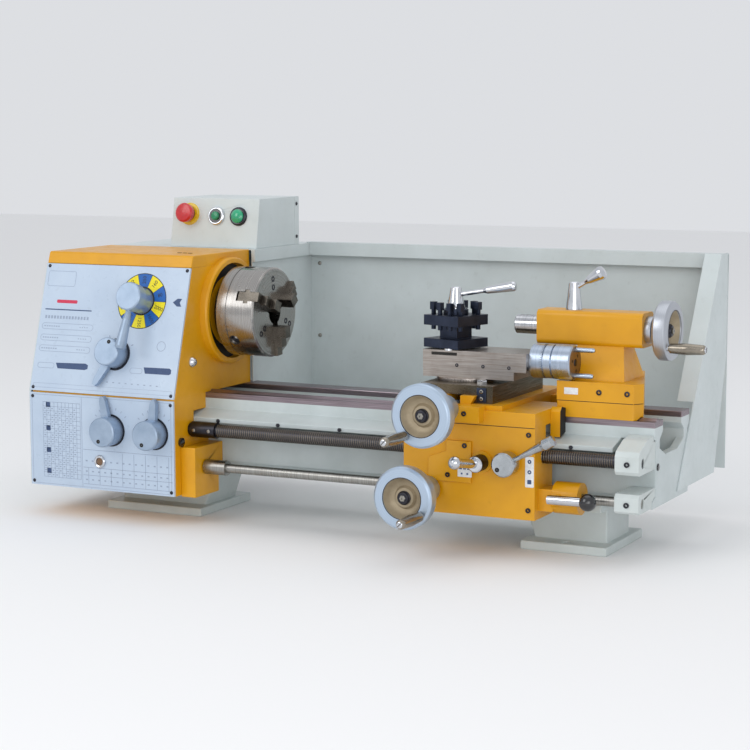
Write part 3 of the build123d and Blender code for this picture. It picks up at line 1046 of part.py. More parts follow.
with BuildPart() as top_slide_screw:
    screw_left = 225.0
    bar((screw_left, TOOL_Y, TOP_SCREW_Z), (1, 0, 0), 5.0, TOP_SLIDE_RIGHT - screw_left)
    bar((TOP_SLIDE_RIGHT - 12 + GAP, TOOL_Y, TOP_SCREW_Z), (1, 0, 0), 6.0, 12)
    dial_start = TOP_SLIDE_RIGHT + GAP
    turned((dial_start, TOOL_Y, TOP_SCREW_Z), (1, 0, 0),
           ((0, 0), (0, 28), (22, 28), (22, 26), (24, 26), (24, 28), (36, 28), (36, 25), (39, 25), (39, 28.5),
            (68, 28.5), (70, 26.5), (70, 0)))
    for spoke in range(2):
        angle = radians(10 + 180 * spoke)
        spot = Vector(dial_start + 60, TOOL_Y + 21 * sin(angle), TOP_SCREW_Z + 21 * cos(angle))
        turned(spot, (1, 0, 0), ((0, 0), (0, 4), (40, 4), (43, 2.5), (43, 0)))
keep(top_slide_screw, "top_slide_screw")

toolpost_foot = TOP_SLIDE_TOP + 2 + GAP
lower_plate = (toolpost_foot, toolpost_foot + 15)
upper_plate = (toolpost_foot + 37, toolpost_foot + 54)
post_x_dir = (cos(radians(TOOLPOST_TURN)), sin(radians(TOOLPOST_TURN)), 0)
post_plane = Plane((TOOLPOST_X, TOOL_Y, 0), x_dir=post_x_dir, z_dir=(0, 0, 1))
post_half = TOOLPOST_SIDE / 2
screw_places = [(side * (post_half - 8), along) for side in (-1, 1) for along in (-22, 22)]
screw_places += [(along, side * (post_half - 8)) for side in (-1, 1) for along in (-8, 14)]
with BuildPart() as toolpost:
    for (low, high), side in ((lower_plate, TOOLPOST_SIDE), (upper_plate, TOOLPOST_SIDE), ((lower_plate[1], upper_plate[0]), 38)):
        with BuildSketch(post_plane.offset(low)):
            Rectangle(side, side)
        extrude(amount=high - low)
    bar((TOOLPOST_X, TOOL_Y, lower_plate[0] - 1), (0, 0, 1), 8 + FIT, 60, mode=Mode.SUBTRACT)
    for x, y in screw_places:
        with BuildSketch(post_plane.offset(upper_plate[0] - 1)):
            with Locations((x, y)):
                Circle(4.0 + FIT)
        extrude(amount=upper_plate[1] - upper_plate[0] + 2, mode=Mode.SUBTRACT)
keep(toolpost, "toolpost")

with BuildPart() as toolpost_screws:
    for x, y in screw_places:
        with BuildSketch(post_plane.offset(upper_plate[0] - 8)):
            with Locations((x, y)):
                Circle(4.0)
        extrude(amount=upper_plate[1] - upper_plate[0] + 16)
        with BuildSketch(post_plane.offset(upper_plate[1] + 8)):
            with Locations((x, y)):
                Rectangle(9, 9)
        extrude(amount=13)
keep(toolpost_screws, "toolpost_screws")

with BuildPart() as toolpost_lever:
    nut_base = upper_plate[1] + GAP
    turned((TOOLPOST_X, TOOL_Y, nut_base), (0, 0, 1),
           ((0, 8 + FIT), (0, 18), (12, 18), (12, 15), (44, 9), (46, 7), (46, 0), (24, 0), (24, 8 + FIT)))
    lever_dir = Vector(0.98, 0.1, 0.17).normalized()
    turned(Vector(TOOLPOST_X, TOOL_Y, nut_base + 32) + lever_dir * 5, lever_dir,
           ((0, 0), (0, 4), (44, 3.6), (50, 6), (96, 8.5), (100, 7), (101, 0)))
keep(toolpost_lever, "toolpost_lever")

# ================================================================ tailstock
# outline of its base and block: one corner cut off, and narrower towards the back
tail_outline = ((TAIL_LEFT, BED_FRONT - 1), (TAIL_RIGHT - TAIL_CORNER, BED_FRONT - 1),
                (TAIL_RIGHT, BED_FRONT + 1.5 * TAIL_CORNER), (TAIL_BACK_RIGHT, BED_BACK), (TAIL_LEFT, BED_BACK))
with BuildPart() as tailstock_base:
    with BuildSketch(Plane.XY.offset(BED_TOP + way_clear)):
        with BuildLine():
            Polyline(*tail_outline, close=True)
        make_face()
    extrude(amount=TAIL_SEAM - BED_TOP - way_clear)
    along_x(v_room, (TAIL_LEFT - 1, TAIL_RIGHT + 1), mode=Mode.SUBTRACT)
    # clamp bolt and plate between the bed's walls
    bar((TAIL_LEFT + 54, 11, BED_TOP - 32), (0, 0, 1), 8.0, 42)
    block((TAIL_LEFT + 24, TAIL_LEFT + 84), (way_inner_front - 12, way_inner_back + 12),
          (way_bottom - 10 - 10, way_bottom - 10 - GAP))
    block((TAIL_LEFT + 24, TAIL_LEFT + 84), (way_inner_front + 2, way_inner_back - 2), (way_bottom - 12, BED_TOP + 1))
keep(tailstock_base, "tailstock_base")

with BuildPart() as tailstock_body:
    with BuildSketch(Plane.XY.offset(TAIL_SEAM)):
        with BuildLine():
            Polyline(*tail_outline, close=True)
        make_face()
    extrude(amount=TAIL_BLOCK_TOP - TAIL_SEAM)
    # neck that narrows up to the barrel
    with BuildSketch(Plane.XY.offset(TAIL_BLOCK_TOP)):
        with Locations((TAIL_LEFT + 60, -6)):
            Rectangle(94, 98)
    with BuildSketch(Plane.XY.offset(SPINDLE_Z - BARREL_HALF + 2)):
        with Locations((TAIL_LEFT + 54, 0)):
            Rectangle(80, 46)
    loft()
    with BuildSketch(Plane.YZ.offset(BARREL_LEFT)):
        with Locations((0, SPINDLE_Z)):
            RectangleRounded(2 * BARREL_HALF, 2 * BARREL_HALF, 9)
    extrude(amount=BARREL_RIGHT - BARREL_LEFT)
    bar((BARREL_LEFT - 1, 0, SPINDLE_Z), (1, 0, 0), QUILL_RADIUS + FIT, BARREL_RIGHT - BARREL_LEFT - 12,
        mode=Mode.SUBTRACT)
    bar((BARREL_RIGHT - 20, 0, SPINDLE_Z), (1, 0, 0), 8 + FIT, 30, mode=Mode.SUBTRACT)
    # seat and bore of the quill lock
    bar((TAIL_LEFT - 2, 0, SPINDLE_Z + BARREL_HALF + 1), (0, 0, -1), 6 + FIT, BARREL_HALF - QUILL_RADIUS, mode=Mode.SUBTRACT)
keep(tailstock_body, "tailstock_body")

with BuildPart() as quill:
    quill_back = 478.0
    turned((QUILL_END, 0, SPINDLE_Z), (1, 0, 0),
           ((0, 9), (0, QUILL_RADIUS - 1.5), (1.5, QUILL_RADIUS), (quill_back - QUILL_END, QUILL_RADIUS),
            (quill_back - QUILL_END, 7), (66, 7)))
keep(quill, "quill")

with BuildPart() as tailstock_handwheel:
    wheel_depth = WHEEL_RIM + 10
    handwheel((TAIL_WHEEL_FRONT, 0, SPINDLE_Z), (1, 0, 0), TAIL_WHEEL_RADIUS, TAIL_WHEEL_FRONT - TAIL_SCREW_END, 6.0, 216,
              TAIL_CRANK_LENGTH, TAIL_WHEEL_FRONT - wheel_depth - BARREL_RIGHT - GAP)
    bar((BARREL_RIGHT - 10, 0, SPINDLE_Z), (1, 0, 0), 8.0, 12)
keep(tailstock_handwheel, "tailstock_handwheel")

with BuildPart() as quill_lock_lever:
    lock_at = (TAIL_LEFT - 2, 0, SPINDLE_Z + BARREL_HALF)
    turned(lock_at, (0, 0, 1), ((-11, 0), (-11, 6), (GAP, 6), (GAP, 14), (26, 11), (44, 9), (46, 7), (46, 0)))
    lock_dir = Vector(0.80, -0.1, 0.46).normalized()
    turned(Vector(*lock_at) + Vector(0, 0, 34), lock_dir,
           ((0, 0), (0, 4), (24, 3.6), (32, 6.5), (56, 11.5), (61, 10.5), (64, 0)))
keep(quill_lock_lever, "quill_lock_lever")

print(len(made), "pieces")
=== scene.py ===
from math import atan2, cos, pi, radians, sin

import bmesh
import bpy
from mathutils import Matrix, Vector


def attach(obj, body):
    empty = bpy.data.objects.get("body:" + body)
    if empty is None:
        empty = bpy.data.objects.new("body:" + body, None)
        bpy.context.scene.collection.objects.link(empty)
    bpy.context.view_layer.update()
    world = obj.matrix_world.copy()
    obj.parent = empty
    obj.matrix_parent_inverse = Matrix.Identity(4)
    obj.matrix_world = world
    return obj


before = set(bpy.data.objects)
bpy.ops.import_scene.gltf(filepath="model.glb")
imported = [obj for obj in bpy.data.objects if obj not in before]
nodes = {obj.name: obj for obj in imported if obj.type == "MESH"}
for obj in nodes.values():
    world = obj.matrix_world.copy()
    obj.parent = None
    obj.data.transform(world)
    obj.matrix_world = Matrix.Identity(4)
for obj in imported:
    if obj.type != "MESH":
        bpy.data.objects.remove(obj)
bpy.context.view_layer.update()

MM = 0.001

# ---------------------------------------------------------------- sizes and places, in mm
# directions that a face can look in
FRONT, REAR = (0, -1, 0), (0, 1, 0)
RIGHT, LEFT = (1, 0, 0), (-1, 0, 0)
UP = (0, 0, 1)

SPINDLE_Z = 365              # axis of the spindle and the quill
SCREW_Y, SCREW_Z = -130, 166  # axis of the leadscrew
ROD_Z = 101                  # axis of the feed rod
WAY_SIDE_Z = 215             # the bed is bare iron above this
HEAD_SIDE = -290             # side of the headstock behind the chuck
CHUCK_FACE = -192
JAW_ANGLES = (25, -95, 145)
CROSS_HUB = (231, -292, 243)  # front of each handwheel
APRON_HUB = (191, -274, 105)
TAIL_HUB = (552, 0, SPINDLE_Z)
APRON_FACE = -168
TOP_Y, TOP_Z = -75, 314      # axis of the top slide's screw
TOP_SIDE = -113              # front side of the top slide
POST_X = 196                 # axis of the toolpost
TAIL_FACE, TAIL_SEAM = -80, 252

UPPER_FOOT, UPPER_FOOT_Y = 222, -182    # foot of the leaning panel
UPPER_HEIGHT, UPPER_LEAN = 227, 64
PANEL_SKIN = 4
LOWER_FACE = -186            # face of the upright panel
PANEL_LEFT, PANEL_RIGHT = -588, -297
DIAL_X, DIAL_Z, DIAL_RADIUS, DIAL_INNER = -382, 388, 50, 26
KNOB_LEFT, KNOB_RIGHT = -421, -331
KNOB_Z, RANGE_Z = 162, 294
INK = 0.15                   # thickness of the print

BOX_FOOT, BOX_FOOT_Y = 470, 95          # foot of the control box's leaning face
BOX_HEIGHT, BOX_LEAN = 91, 15


# ---------------------------------------------------------------- node and colour helpers
def colour(code):
    """A linear colour from an sRGB hex value."""
    parts = [int(code[start:start + 2], 16) / 255 for start in (1, 3, 5)]
    linear = [part / 12.92 if part <= 0.04045 else ((part + 0.055) / 1.055) ** 2.4 for part in parts]
    return tuple(linear) + (1.0,)


def add(tree, kind, settings=None, values=None, links=None):
    """Adds a node: settings are its properties, values its free inputs, links its inputs fed by outputs."""
    made = tree.nodes.new(kind)
    for name, value in (settings or {}).items():
        setattr(made, name, value)
    for socket, value in (values or {}).items():
        made.inputs[socket].default_value = value
    for socket, source in (links or {}).items():
        tree.links.new(source, made.inputs[socket])
    return made


def surface(name, values):
    """A new material: returns it with its tree, its shader and the object coordinates."""
    material = bpy.data.materials.new(name)
    material.use_nodes = True
    tree = material.node_tree
    tree.nodes.clear()
    shader = add(tree, "ShaderNodeBsdfPrincipled", values=values)
    add(tree, "ShaderNodeOutputMaterial", links={"Surface": shader.outputs["BSDF"]})
    place = add(tree, "ShaderNodeTexCoord").outputs["Object"]
    return material, tree, shader, place


def spread(tree, place, size_mm, detail=3.0, stretch=None):
    """A noise value whose features are about size_mm across; stretch scales each axis first."""
    source = place
    if stretch:
        mapping = add(tree, "ShaderNodeMapping", values={"Scale": stretch}, links={"Vector": place})
        source = mapping.outputs["Vector"]
    values = {"Scale": 1000 / size_mm, "Detail": detail, "Roughness": 0.6}
    return add(tree, "ShaderNodeTexNoise", values=values, links={"Vector": source}).outputs["Fac"]


def between(tree, factor, low, high, first=0.3, last=0.7):
    """Maps a factor from first..last to low..high."""
    values = {"From Min": first, "From Max": last, "To Min": low, "To Max": high}
    return add(tree, "ShaderNodeMapRange", values=values, links={"Value": factor}).outputs["Result"]


def blend(tree, factor, first, second):
    """Mixes two colours; each is a colour or an output."""
    node = add(tree, "ShaderNodeMix", settings={"data_type": "RGBA"}, links={0: factor})
    for socket, source in ((6, first), (7, second)):
        if isinstance(source, tuple):
            node.inputs[socket].default_value = source
        else:
            tree.links.new(source, node.inputs[socket])
    return node.outputs[2]


def reckon(tree, operation, *terms):
    """The result of a sum on one or two outputs."""
    node = add(tree, "ShaderNodeMath", settings={"operation": operation}, links=dict(enumerate(terms)))
    return node.outputs[0]


def relief(tree, shader, heights):
    """Chains bumps: heights is a list of (output, depth in mm)."""
    normal = None
    for height, depth in heights:
        links = {"Height": height}
        if normal:
            links["Normal"] = normal
        normal = add(tree, "ShaderNodeBump", values={"Strength": 1.0, "Distance": depth * MM},
                     links=links).outputs["Normal"]
    tree.links.new(normal, shader.inputs["Normal"])


# ---------------------------------------------------------------- finishes
def enamel(name, main, shade, rough, peel_mm, peel, wave_mm, wave):
    """Sprayed enamel: a gloss skin with orange peel over a casting's or sheet's slow waves."""
    skin = {"Roughness": rough, "Coat Weight": 0.08, "Coat Roughness": 0.15}
    material, tree, shader, place = surface(name, skin)
    cloud = spread(tree, place, 90)
    soil = spread(tree, place, 14, 5.0)
    tone = blend(tree, between(tree, cloud, 0.0, 1.0), colour(main), colour(shade))
    tone = blend(tree, between(tree, soil, 0.0, 0.10, 0.60, 0.78), tone, colour("#4A3A20"))
    tree.links.new(tone, shader.inputs["Base Color"])
    tree.links.new(between(tree, soil, rough - 0.05, rough + 0.12), shader.inputs["Roughness"])
    waves = spread(tree, place, wave_mm, 1.0)
    relief(tree, shader, [(waves, wave), (spread(tree, place, peel_mm, 1.0), peel)])
    return material


def ground_metal(name, main, shade, rough, stretch, line_mm, metallic=1.0):
    """Ground or scraped iron: fine parallel grinding lines along the axis with the small stretch."""
    material, tree, shader, place = surface(name, {"Metallic": metallic})
    lines = spread(tree, place, line_mm, 2.0, stretch)
    cloud = spread(tree, place, 35, 4.0)
    tone = blend(tree, between(tree, lines, 0.0, 1.0), colour(main), colour(shade))
    tone = blend(tree, between(tree, cloud, 0.0, 0.35, 0.5, 0.75), tone, colour("#6B5F50"))
    tree.links.new(tone, shader.inputs["Base Color"])
    tree.links.new(between(tree, lines, rough - 0.06, rough + 0.12), shader.inputs["Roughness"])
    relief(tree, shader, [(lines, 0.03)])
    return material


def turned_metal(name, main, shade, rough, axis, centre, groove_mm=0.9, metallic=1.0, handle_mm=None):
    """Metal turned on a lathe: fine rings round axis (X, Y or Z) through centre in mm.

    What lies beyond handle_mm along that axis is a polished steel handle. The rings of a fine cut are
    drawn coarser than they are, because they would be lost at the size of a render.
    """
    material, tree, shader, place = surface(name, {"Metallic": metallic})
    moved = add(tree, "ShaderNodeMapping", settings={"vector_type": "POINT"},
                values={"Location": tuple(-value * MM for value in centre)}, links={"Vector": place})
    parts = add(tree, "ShaderNodeSeparateXYZ", links={"Vector": moved.outputs["Vector"]})
    cross = [letter for letter in "XYZ" if letter != axis]
    squares = [reckon(tree, "MULTIPLY", parts.outputs[letter], parts.outputs[letter]) for letter in cross]
    radius = reckon(tree, "SQRT", reckon(tree, "ADD", *squares))
    flat = add(tree, "ShaderNodeCombineXYZ", links={"X": parts.outputs[axis], "Y": radius}).outputs["Vector"]
    rings = spread(tree, flat, groove_mm, 1.0)
    cloud = spread(tree, place, 30, 4.0)
    tone = blend(tree, between(tree, rings, 0.0, 1.0), colour(main), colour(shade))
    gloss = between(tree, cloud, rough - 0.05, rough + 0.10)
    if handle_mm is not None:
        seam_mm = 0.4 if handle_mm > 0 else -0.4
        beyond = between(tree, parts.outputs[axis], 0.0, 1.0, handle_mm * MM, (handle_mm + seam_mm) * MM)
        steel = blend(tree, between(tree, cloud, 0.0, 1.0), colour("#A39B8E"), colour("#7F776B"))
        tone = blend(tree, beyond, tone, steel)
        gloss = between(tree, beyond, rough, 0.18, 0.0, 1.0)
    tree.links.new(tone, shader.inputs["Base Color"])
    tree.links.new(gloss, shader.inputs["Roughness"])
    relief(tree, shader, [(rings, 0.015)])
    return material


def cast_metal(name, main, shade, rough, grain_mm, depth, metallic=1.0, coat=0.0):
    """A cast, blasted or blackened metal with an even fine grain."""
    material, tree, shader, place = surface(name, {"Metallic": metallic, "Coat Weight": coat})
    grain = spread(tree, place, grain_mm, 3.0)
    cloud = spread(tree, place, 25, 4.0)
    tone = blend(tree, between(tree, cloud, 0.0, 1.0), colour(main), colour(shade))
    tree.links.new(tone, shader.inputs["Base Color"])
    tree.links.new(between(tree, grain, rough - 0.06, rough + 0.10), shader.inputs["Roughness"])
    relief(tree, shader, [(grain, depth)])
    return material


def moulded(name, main, rough, coat=0.4):
    """Moulded plastic: nearly even colour with the mould's faint grain."""
    skin = {"Roughness": rough, "Coat Weight": coat, "Coat Roughness": 0.1}
    material, tree, shader, place = surface(name, skin)
    cloud = spread(tree, place, 6, 2.0)
    dark = tuple(part * 0.82 for part in colour(main)[:3]) + (1.0,)
    tone = blend(tree, between(tree, cloud, 0.0, 1.0), colour(main), dark)
    tree.links.new(tone, shader.inputs["Base Color"])
    relief(tree, shader, [(spread(tree, place, 0.8, 1.0), 0.01)])
    return material


def print_ink(name, main):
    """Screen-printed ink: a thin matt film with slightly uneven cover."""
    material, tree, shader, place = surface(name, {"Roughness": 0.5})
    cover = spread(tree, place, 3, 2.0)
    light = tuple(min(1.0, part * 1.25 + 0.01) for part in colour(main)[:3]) + (1.0,)
    tone = blend(tree, between(tree, cover, 0.0, 0.6), colour(main), light)
    tree.links.new(tone, shader.inputs["Base Color"])
    return material


# a deep yellow gloss with orange peel, a shade darker where the casting waves
yellow_enamel = enamel("yellow_enamel_on_castings", "#DFA000", "#D09200", 0.34, 2.2, 0.02, 30, 0.25)
# pale cream with a green cast, soft highlights that wander over the sand-cast surface
cream_enamel = enamel("cream_enamel_on_castings", "#CBD3D2", "#BEC6C4", 0.38, 2.2, 0.02, 30, 0.25)
# the same cream on thin sheet, whose long waves bend the reflections
sheet_enamel = enamel("cream_enamel_on_sheet_steel", "#CCD5D6", "#C3CCCC", 0.36, 1.6, 0.012, 160, 0.35)
# smooth pale blue lacquer, nearly flat, with a satin sheen
panel_enamel = enamel("pale_blue_panel_lacquer", "#BCCBDC", "#B2C2D5", 0.30, 1.4, 0.006, 200, 0.12)
# dull grey paint on the motor
motor_enamel = enamel("grey_motor_enamel", "#50565C", "#454A50", 0.45, 2.0, 0.02, 20, 0.1)
# bright grinding lines that draw the highlight out across the top slide
slide_iron = ground_metal("ground_cast_iron_slides", "#B5AEA8", "#9A918A", 0.36, (0.03, 1.0, 1.0), 1.6)
# brown and dark with old oil, its lines run the other way
oiled_iron = ground_metal("oil_stained_cross_slide_iron", "#7C7262", "#5A503E", 0.30, (1.0, 0.03, 1.0), 1.6)
# fine bright rings round the chuck and across its face
chuck_steel = turned_metal("turned_chuck_steel", "#BDBAB6", "#8F8C89", 0.22, "X", (0, 0, SPINDLE_Z), 1.6)
# a near mirror with faint grinding rings
quill_steel = turned_metal("ground_quill_steel", "#D2D3D6", "#A9ABB0", 0.16, "X", (0, 0, SPINDLE_Z), 1.2)
# grey drawn bar with a soft line of light along it
rod_steel = turned_metal("drawn_rod_steel", "#A9A8A4", "#8E8C86", 0.30, "X", (0, SCREW_Y, ROD_Z), 1.5)
# satin rings with a blue cast on the graduated dial
dial_steel = turned_metal("turned_dial_steel", "#B9C4D3", "#A2AFC0", 0.30, "X", (0, TOP_Y, TOP_Z), 1.2)
# blue-black, with a low sheen on the edges
black_steel = cast_metal("blackened_steel", "#2A303F", "#383F50", 0.36, 0.9, 0.012, 0.85)
# dark brown-grey and glossy, as hardened jaws are
jaw_steel = cast_metal("dark_hardened_steel", "#55504A", "#7D776E", 0.28, 0.8, 0.012)
# a smooth silver lever, less sharp in its reflections than chrome
polished_lever = cast_metal("polished_aluminium_lever", "#BFC4C8", "#A3A8AC", 0.18, 3.0, 0.01)
# the warm matt end of the dial
dial_end_metal = cast_metal("bronze_toned_dial_end", "#9A8C80", "#857668", 0.4, 1.2, 0.02)
# nearly black screws that glint
screw_steel = cast_metal("oiled_screw_steel", "#34343A", "#4A4A50", 0.32, 0.8, 0.01)
# clean light steel of cut teeth
gear_steel = cast_metal("milled_gear_steel", "#A6A39C", "#8B877F", 0.32, 0.8, 0.01)
# the thread's crests are lighter than the oiled core: partly the bare steel of wear, partly a painted
# highlight
crest_wear_and_highlight = cast_metal("bright_thread_crests", "#7A746B", "#5A544C", 0.28, 0.8, 0.01)
# pale blue-grey and matt, from bead blasting
knob_aluminium = cast_metal("blasted_aluminium_knobs", "#A9BACE", "#98AABF", 0.42, 0.7, 0.012, 0.75)
# rough beige casting inside the rims of the wheels
dish_casting = cast_metal("sand_cast_wheel_dish", "#B3A58C", "#9C8E76", 0.55, 1.3, 0.06, 0.5)
# mirror bright, it takes its tone from the room
bright_chrome = cast_metal("polished_chrome", "#DADCE0", "#C6C9CF", 0.10, 20, 0.01)
# pale turned rims whose crank handles are warmer polished steel, past the rim's face
HANDLE_STEP = 1.0
cross_wheel_rim = turned_metal("turned_aluminium_cross_wheel", "#BFD0E2", "#AFC0D4", 0.36, "Y",
                               (CROSS_HUB[0], 0, CROSS_HUB[2]), 1.0, 0.8, CROSS_HUB[1] - HANDLE_STEP)
apron_wheel_rim = turned_metal("turned_aluminium_apron_wheel", "#BFD0E2", "#AFC0D4", 0.36, "Y",
                               (APRON_HUB[0], 0, APRON_HUB[2]), 1.0, 0.8, APRON_HUB[1] - HANDLE_STEP)
tail_wheel_rim = turned_metal("turned_aluminium_tail_wheel", "#C2C6CC", "#AAAEB6", 0.34, "X",
                              (0, 0, SPINDLE_Z), 1.0, 0.85, TAIL_HUB[0] + HANDLE_STEP)
# plastics and rubber: dull black belt, wet-looking lenses and caps, a duller collar and film
belt_rubber = moulded("ribbed_belt_rubber", "#161616", 0.7, 0.0)
red_cap = moulded("red_push_button", "#C8242C", 0.28)
green_cap = moulded("green_push_button", "#0C8A5C", 0.28)
green_lens = moulded("green_lamp_lens", "#19A878", 0.12, 0.8)
black_cap = moulded("black_phenolic", "#0E0F14", 0.16, 0.8)
collar_yellow = moulded("yellow_collar_plastic", "#E8C21C", 0.35)
label_film = moulded("white_label_film", "#E9EBEC", 0.35)
amber_glass = moulded("amber_oil_window", "#6E4A20", 0.10, 1.0)
# seams and vent marks as dark gaps, and painted shade: the sockets and slots of screws, the top slide's slot
# and the ring behind the chuck are painted dark where shade falls in them
dark_gaps_and_shade = moulded("dark_recess", "#17130C", 0.6, 0.0)
# screen-printed inks: matt, a little thin in places
navy_ink = print_ink("navy_print", "#34496E")
blue_ink = print_ink("blue_dial_print", "#0B5AA8")
yellow_ink = print_ink("yellow_dial_print", "#E8D614")
grey_ink = print_ink("grey_print", "#8F9CB0")
black_ink = print_ink("black_print", "#1A2029")
red_ink = print_ink("red_print", "#C2284A")


def bed_finish():
    """Cream enamel on the bed's sides and bare ground iron on the ways and their edges."""
    material, tree, shader, place = surface("ground_ways_over_cream_enamel", {})
    parts = add(tree, "ShaderNodeSeparateXYZ", links={"Vector": place})
    lines = spread(tree, place, 1.4, 2.0, (0.02, 1.0, 1.0))
    cloud = spread(tree, place, 60, 3.0)
    bare = blend(tree, between(tree, lines, 0.0, 1.0), colour("#A0949A"), colour("#7E7278"))
    paint = blend(tree, between(tree, cloud, 0.0, 1.0), colour("#C6CFD0"), colour("#B9C3C3"))
    mask = between(tree, parts.outputs["Z"], 0.0, 1.0, WAY_SIDE_Z * MM, (WAY_SIDE_Z + 0.6) * MM)
    tree.links.new(blend(tree, mask, paint, bare), shader.inputs["Base Color"])
    tree.links.new(mask, shader.inputs["Metallic"])
    tree.links.new(between(tree, lines, 0.30, 0.44), shader.inputs["Roughness"])
    relief(tree, shader, [(lines, 0.02), (spread(tree, place, 2.4, 1.0), 0.015)])
    return material


# pale paint below, dark violet-grey ground iron with long scratches above
bed_skin = bed_finish()

finish = {
    yellow_enamel: ("headstock_casting", "headstock_cover", "gearbox_casing", "feed_drive_box", "saddle",
                    "apron", "tailstock_base", "tailstock_body"),
    cream_enamel: ("foot_left", "foot_right", "rod_end_brackets"),
    sheet_enamel: ("rear_housing", "electrical_box", "electrical_box_cover", "splash_back", "splash_right",
                   "end_cover"),
    panel_enamel: ("upper_panel", "lower_panel"),
    bed_skin: ("bed",),
    slide_iron: ("swivel_base", "top_slide"),
    oiled_iron: ("cross_slide",),
    chuck_steel: ("chuck_body", "spindle"),
    quill_steel: ("quill",),
    rod_steel: ("feed_rod",),
    dial_steel: ("top_slide_screw",),
    black_steel: ("toolpost", "toolpost_screws"),
    jaw_steel: ("chuck_jaw_1", "chuck_jaw_2", "chuck_jaw_3"),
    screw_steel: ("leadscrew",),
    gear_steel: ("chuck_scroll", "idler_gear", "spindle_gear", "rack_pinion", "gear_rack", "half_nut",
                 "spindle_pulley", "motor_pulley", "spindle_bearings"),
    cross_wheel_rim: ("cross_handwheel",),
    apron_wheel_rim: ("apron_handwheel",),
    tail_wheel_rim: ("tailstock_handwheel",),
    knob_aluminium: ("gear_knob_left", "gear_knob_right", "range_lever", "speed_handle"),
    polished_lever: ("half_nut_lever",),
    bright_chrome: ("feed_selector", "quill_lock_lever", "toolpost_lever", "direction_lever"),
    motor_enamel: ("motor",),
    belt_rubber: ("drive_belt",),
    red_cap: ("estop_button",),
    green_cap: ("start_button",),
    black_cap: ("button_collars",),
}
for material, names in finish.items():
    for name in names:
        nodes[name].data.materials.clear()
        nodes[name].data.materials.append(material)

# width of the softened edges in mm
softened = {
    2.0: ("headstock_cover", "foot_left", "foot_right"),
    1.5: ("gearbox_casing", "feed_drive_box", "saddle", "apron", "tailstock_base", "tailstock_body"),
    1.2: ("headstock_casting", "rod_end_brackets"),
    1.0: ("bed",),
    0.8: ("electrical_box", "electrical_box_cover", "gear_knob_left", "gear_knob_right", "range_lever",
          "cross_handwheel", "apron_handwheel", "tailstock_handwheel"),
    0.6: ("cross_slide", "swivel_base", "top_slide", "toolpost", "rear_housing", "end_cover"),
    0.4: ("toolpost_screws", "chuck_jaw_1", "chuck_jaw_2", "chuck_jaw_3"),
}
for width, names in softened.items():
    for name in names:
        # join the loose triangles, then round the sharp edges a little so that they catch the light
        weld = nodes[name].modifiers.new("joined", "WELD")
        weld.merge_threshold = 0.00001
        edge = nodes[name].modifiers.new("soft_edges", "BEVEL")
        edge.width = width * MM
        edge.segments = 2
        edge.limit_method = "ANGLE"
        edge.angle_limit = radians(35)


# ---------------------------------------------------------------- shapes, in mm
def spun(profile, closed, steps):
    """Turns a line of (along, radius) points about Z; closed joins its last point to its first."""
    form = bmesh.new()
    points = [form.verts.new((radius, 0, along)) for along, radius in profile]
    following = points[1:] + points[:1] if closed else points[1:]
    line = [form.edges.new(pair) for pair in zip(points, following)]
    bmesh.ops.spin(form, geom=points + line, cent=(0, 0, 0), axis=UP, angle=2 * pi, steps=steps,
                   use_merge=True)
    bmesh.ops.remove_doubles(form, verts=form.verts, dist=0.0005)
    bmesh.ops.recalc_face_normals(form, faces=form.faces)
    return form


def plate(outline, thickness, edge=0.0):
    """A flat plate of (x, y) outline from Z 0 up, with its top edges rounded by edge."""
    form = bmesh.new()
    face = form.faces.new([form.verts.new((x, y, 0)) for x, y in outline])
    raised = bmesh.ops.extrude_face_region(form, geom=[face])
    lifted = [item for item in raised["geom"] if isinstance(item, bmesh.types.BMVert)]
    bmesh.ops.translate(form, vec=(0, 0, thickness), verts=lifted)
    bmesh.ops.recalc_face_normals(form, faces=form.faces)
    if edge:
        rims = [item for item in form.edges if all(vert.co.z > thickness / 2 for vert in item.verts)]
        bmesh.ops.bevel(form, geom=rims, offset=edge, offset_type="OFFSET", segments=2, profile=0.5,
                        affect="EDGES", material=-1)
    return form


def oblong(length, width, corner, steps=5):
    """Outline of a rectangle with round corners, centred on the origin."""
    points = []
    for across, along, start in ((1, 1, 0), (-1, 1, 90), (-1, -1, 180), (1, -1, 270)):
        for step in range(steps + 1):
            angle = radians(start + 90 * step / steps)
            points.append((across * (length / 2 - corner) + corner * cos(angle),
                           along * (width / 2 - corner) + corner * sin(angle)))
    return points


def frame_line(length, width, corner, stroke, thickness):
    """A printed outline: the band between two oblongs."""
    form = bmesh.new()
    outer = [form.verts.new((x, y, thickness)) for x, y in oblong(length, width, corner)]
    inner = [form.verts.new((x, y, thickness)) for x, y in
             oblong(length - 2 * stroke, width - 2 * stroke, max(corner - stroke, 0.2))]
    edges = [form.edges.new(pair) for loop in (outer, inner) for pair in zip(loop, loop[1:] + loop[:1])]
    bmesh.ops.bridge_loops(form, edges=edges)
    bmesh.ops.recalc_face_normals(form, faces=form.faces)
    if form.faces[0].normal.z < 0:
        bmesh.ops.reverse_faces(form, faces=form.faces)
    bmesh.ops.solidify(form, geom=form.faces[:], thickness=thickness)
    return form


def at(form, origin, axis=UP, across=RIGHT):
    """Moves a form so that its Z lies along axis and its X along across, at origin."""
    up = Vector(axis).normalized()
    side = Vector(across) - up * up.dot(Vector(across))
    side = side.normalized() if side.length > 0.001 else up.orthogonal().normalized()
    turn = Matrix((side, up.cross(side), up)).transposed().to_4x4()
    bmesh.ops.transform(form, matrix=Matrix.Translation(Vector(origin)) @ turn, verts=form.verts)
    return form


def turned(profile, origin, axis, steps=48):
    """A solid turned about axis, from (along, radius) points of which the first and last lie on it."""
    return at(spun(profile, False, steps), origin, axis)


def ring(profile, origin, axis, steps=48):
    """A hollow ring turned about axis, from a closed loop of (along, radius) points."""
    return at(spun(profile, True, steps), origin, axis)


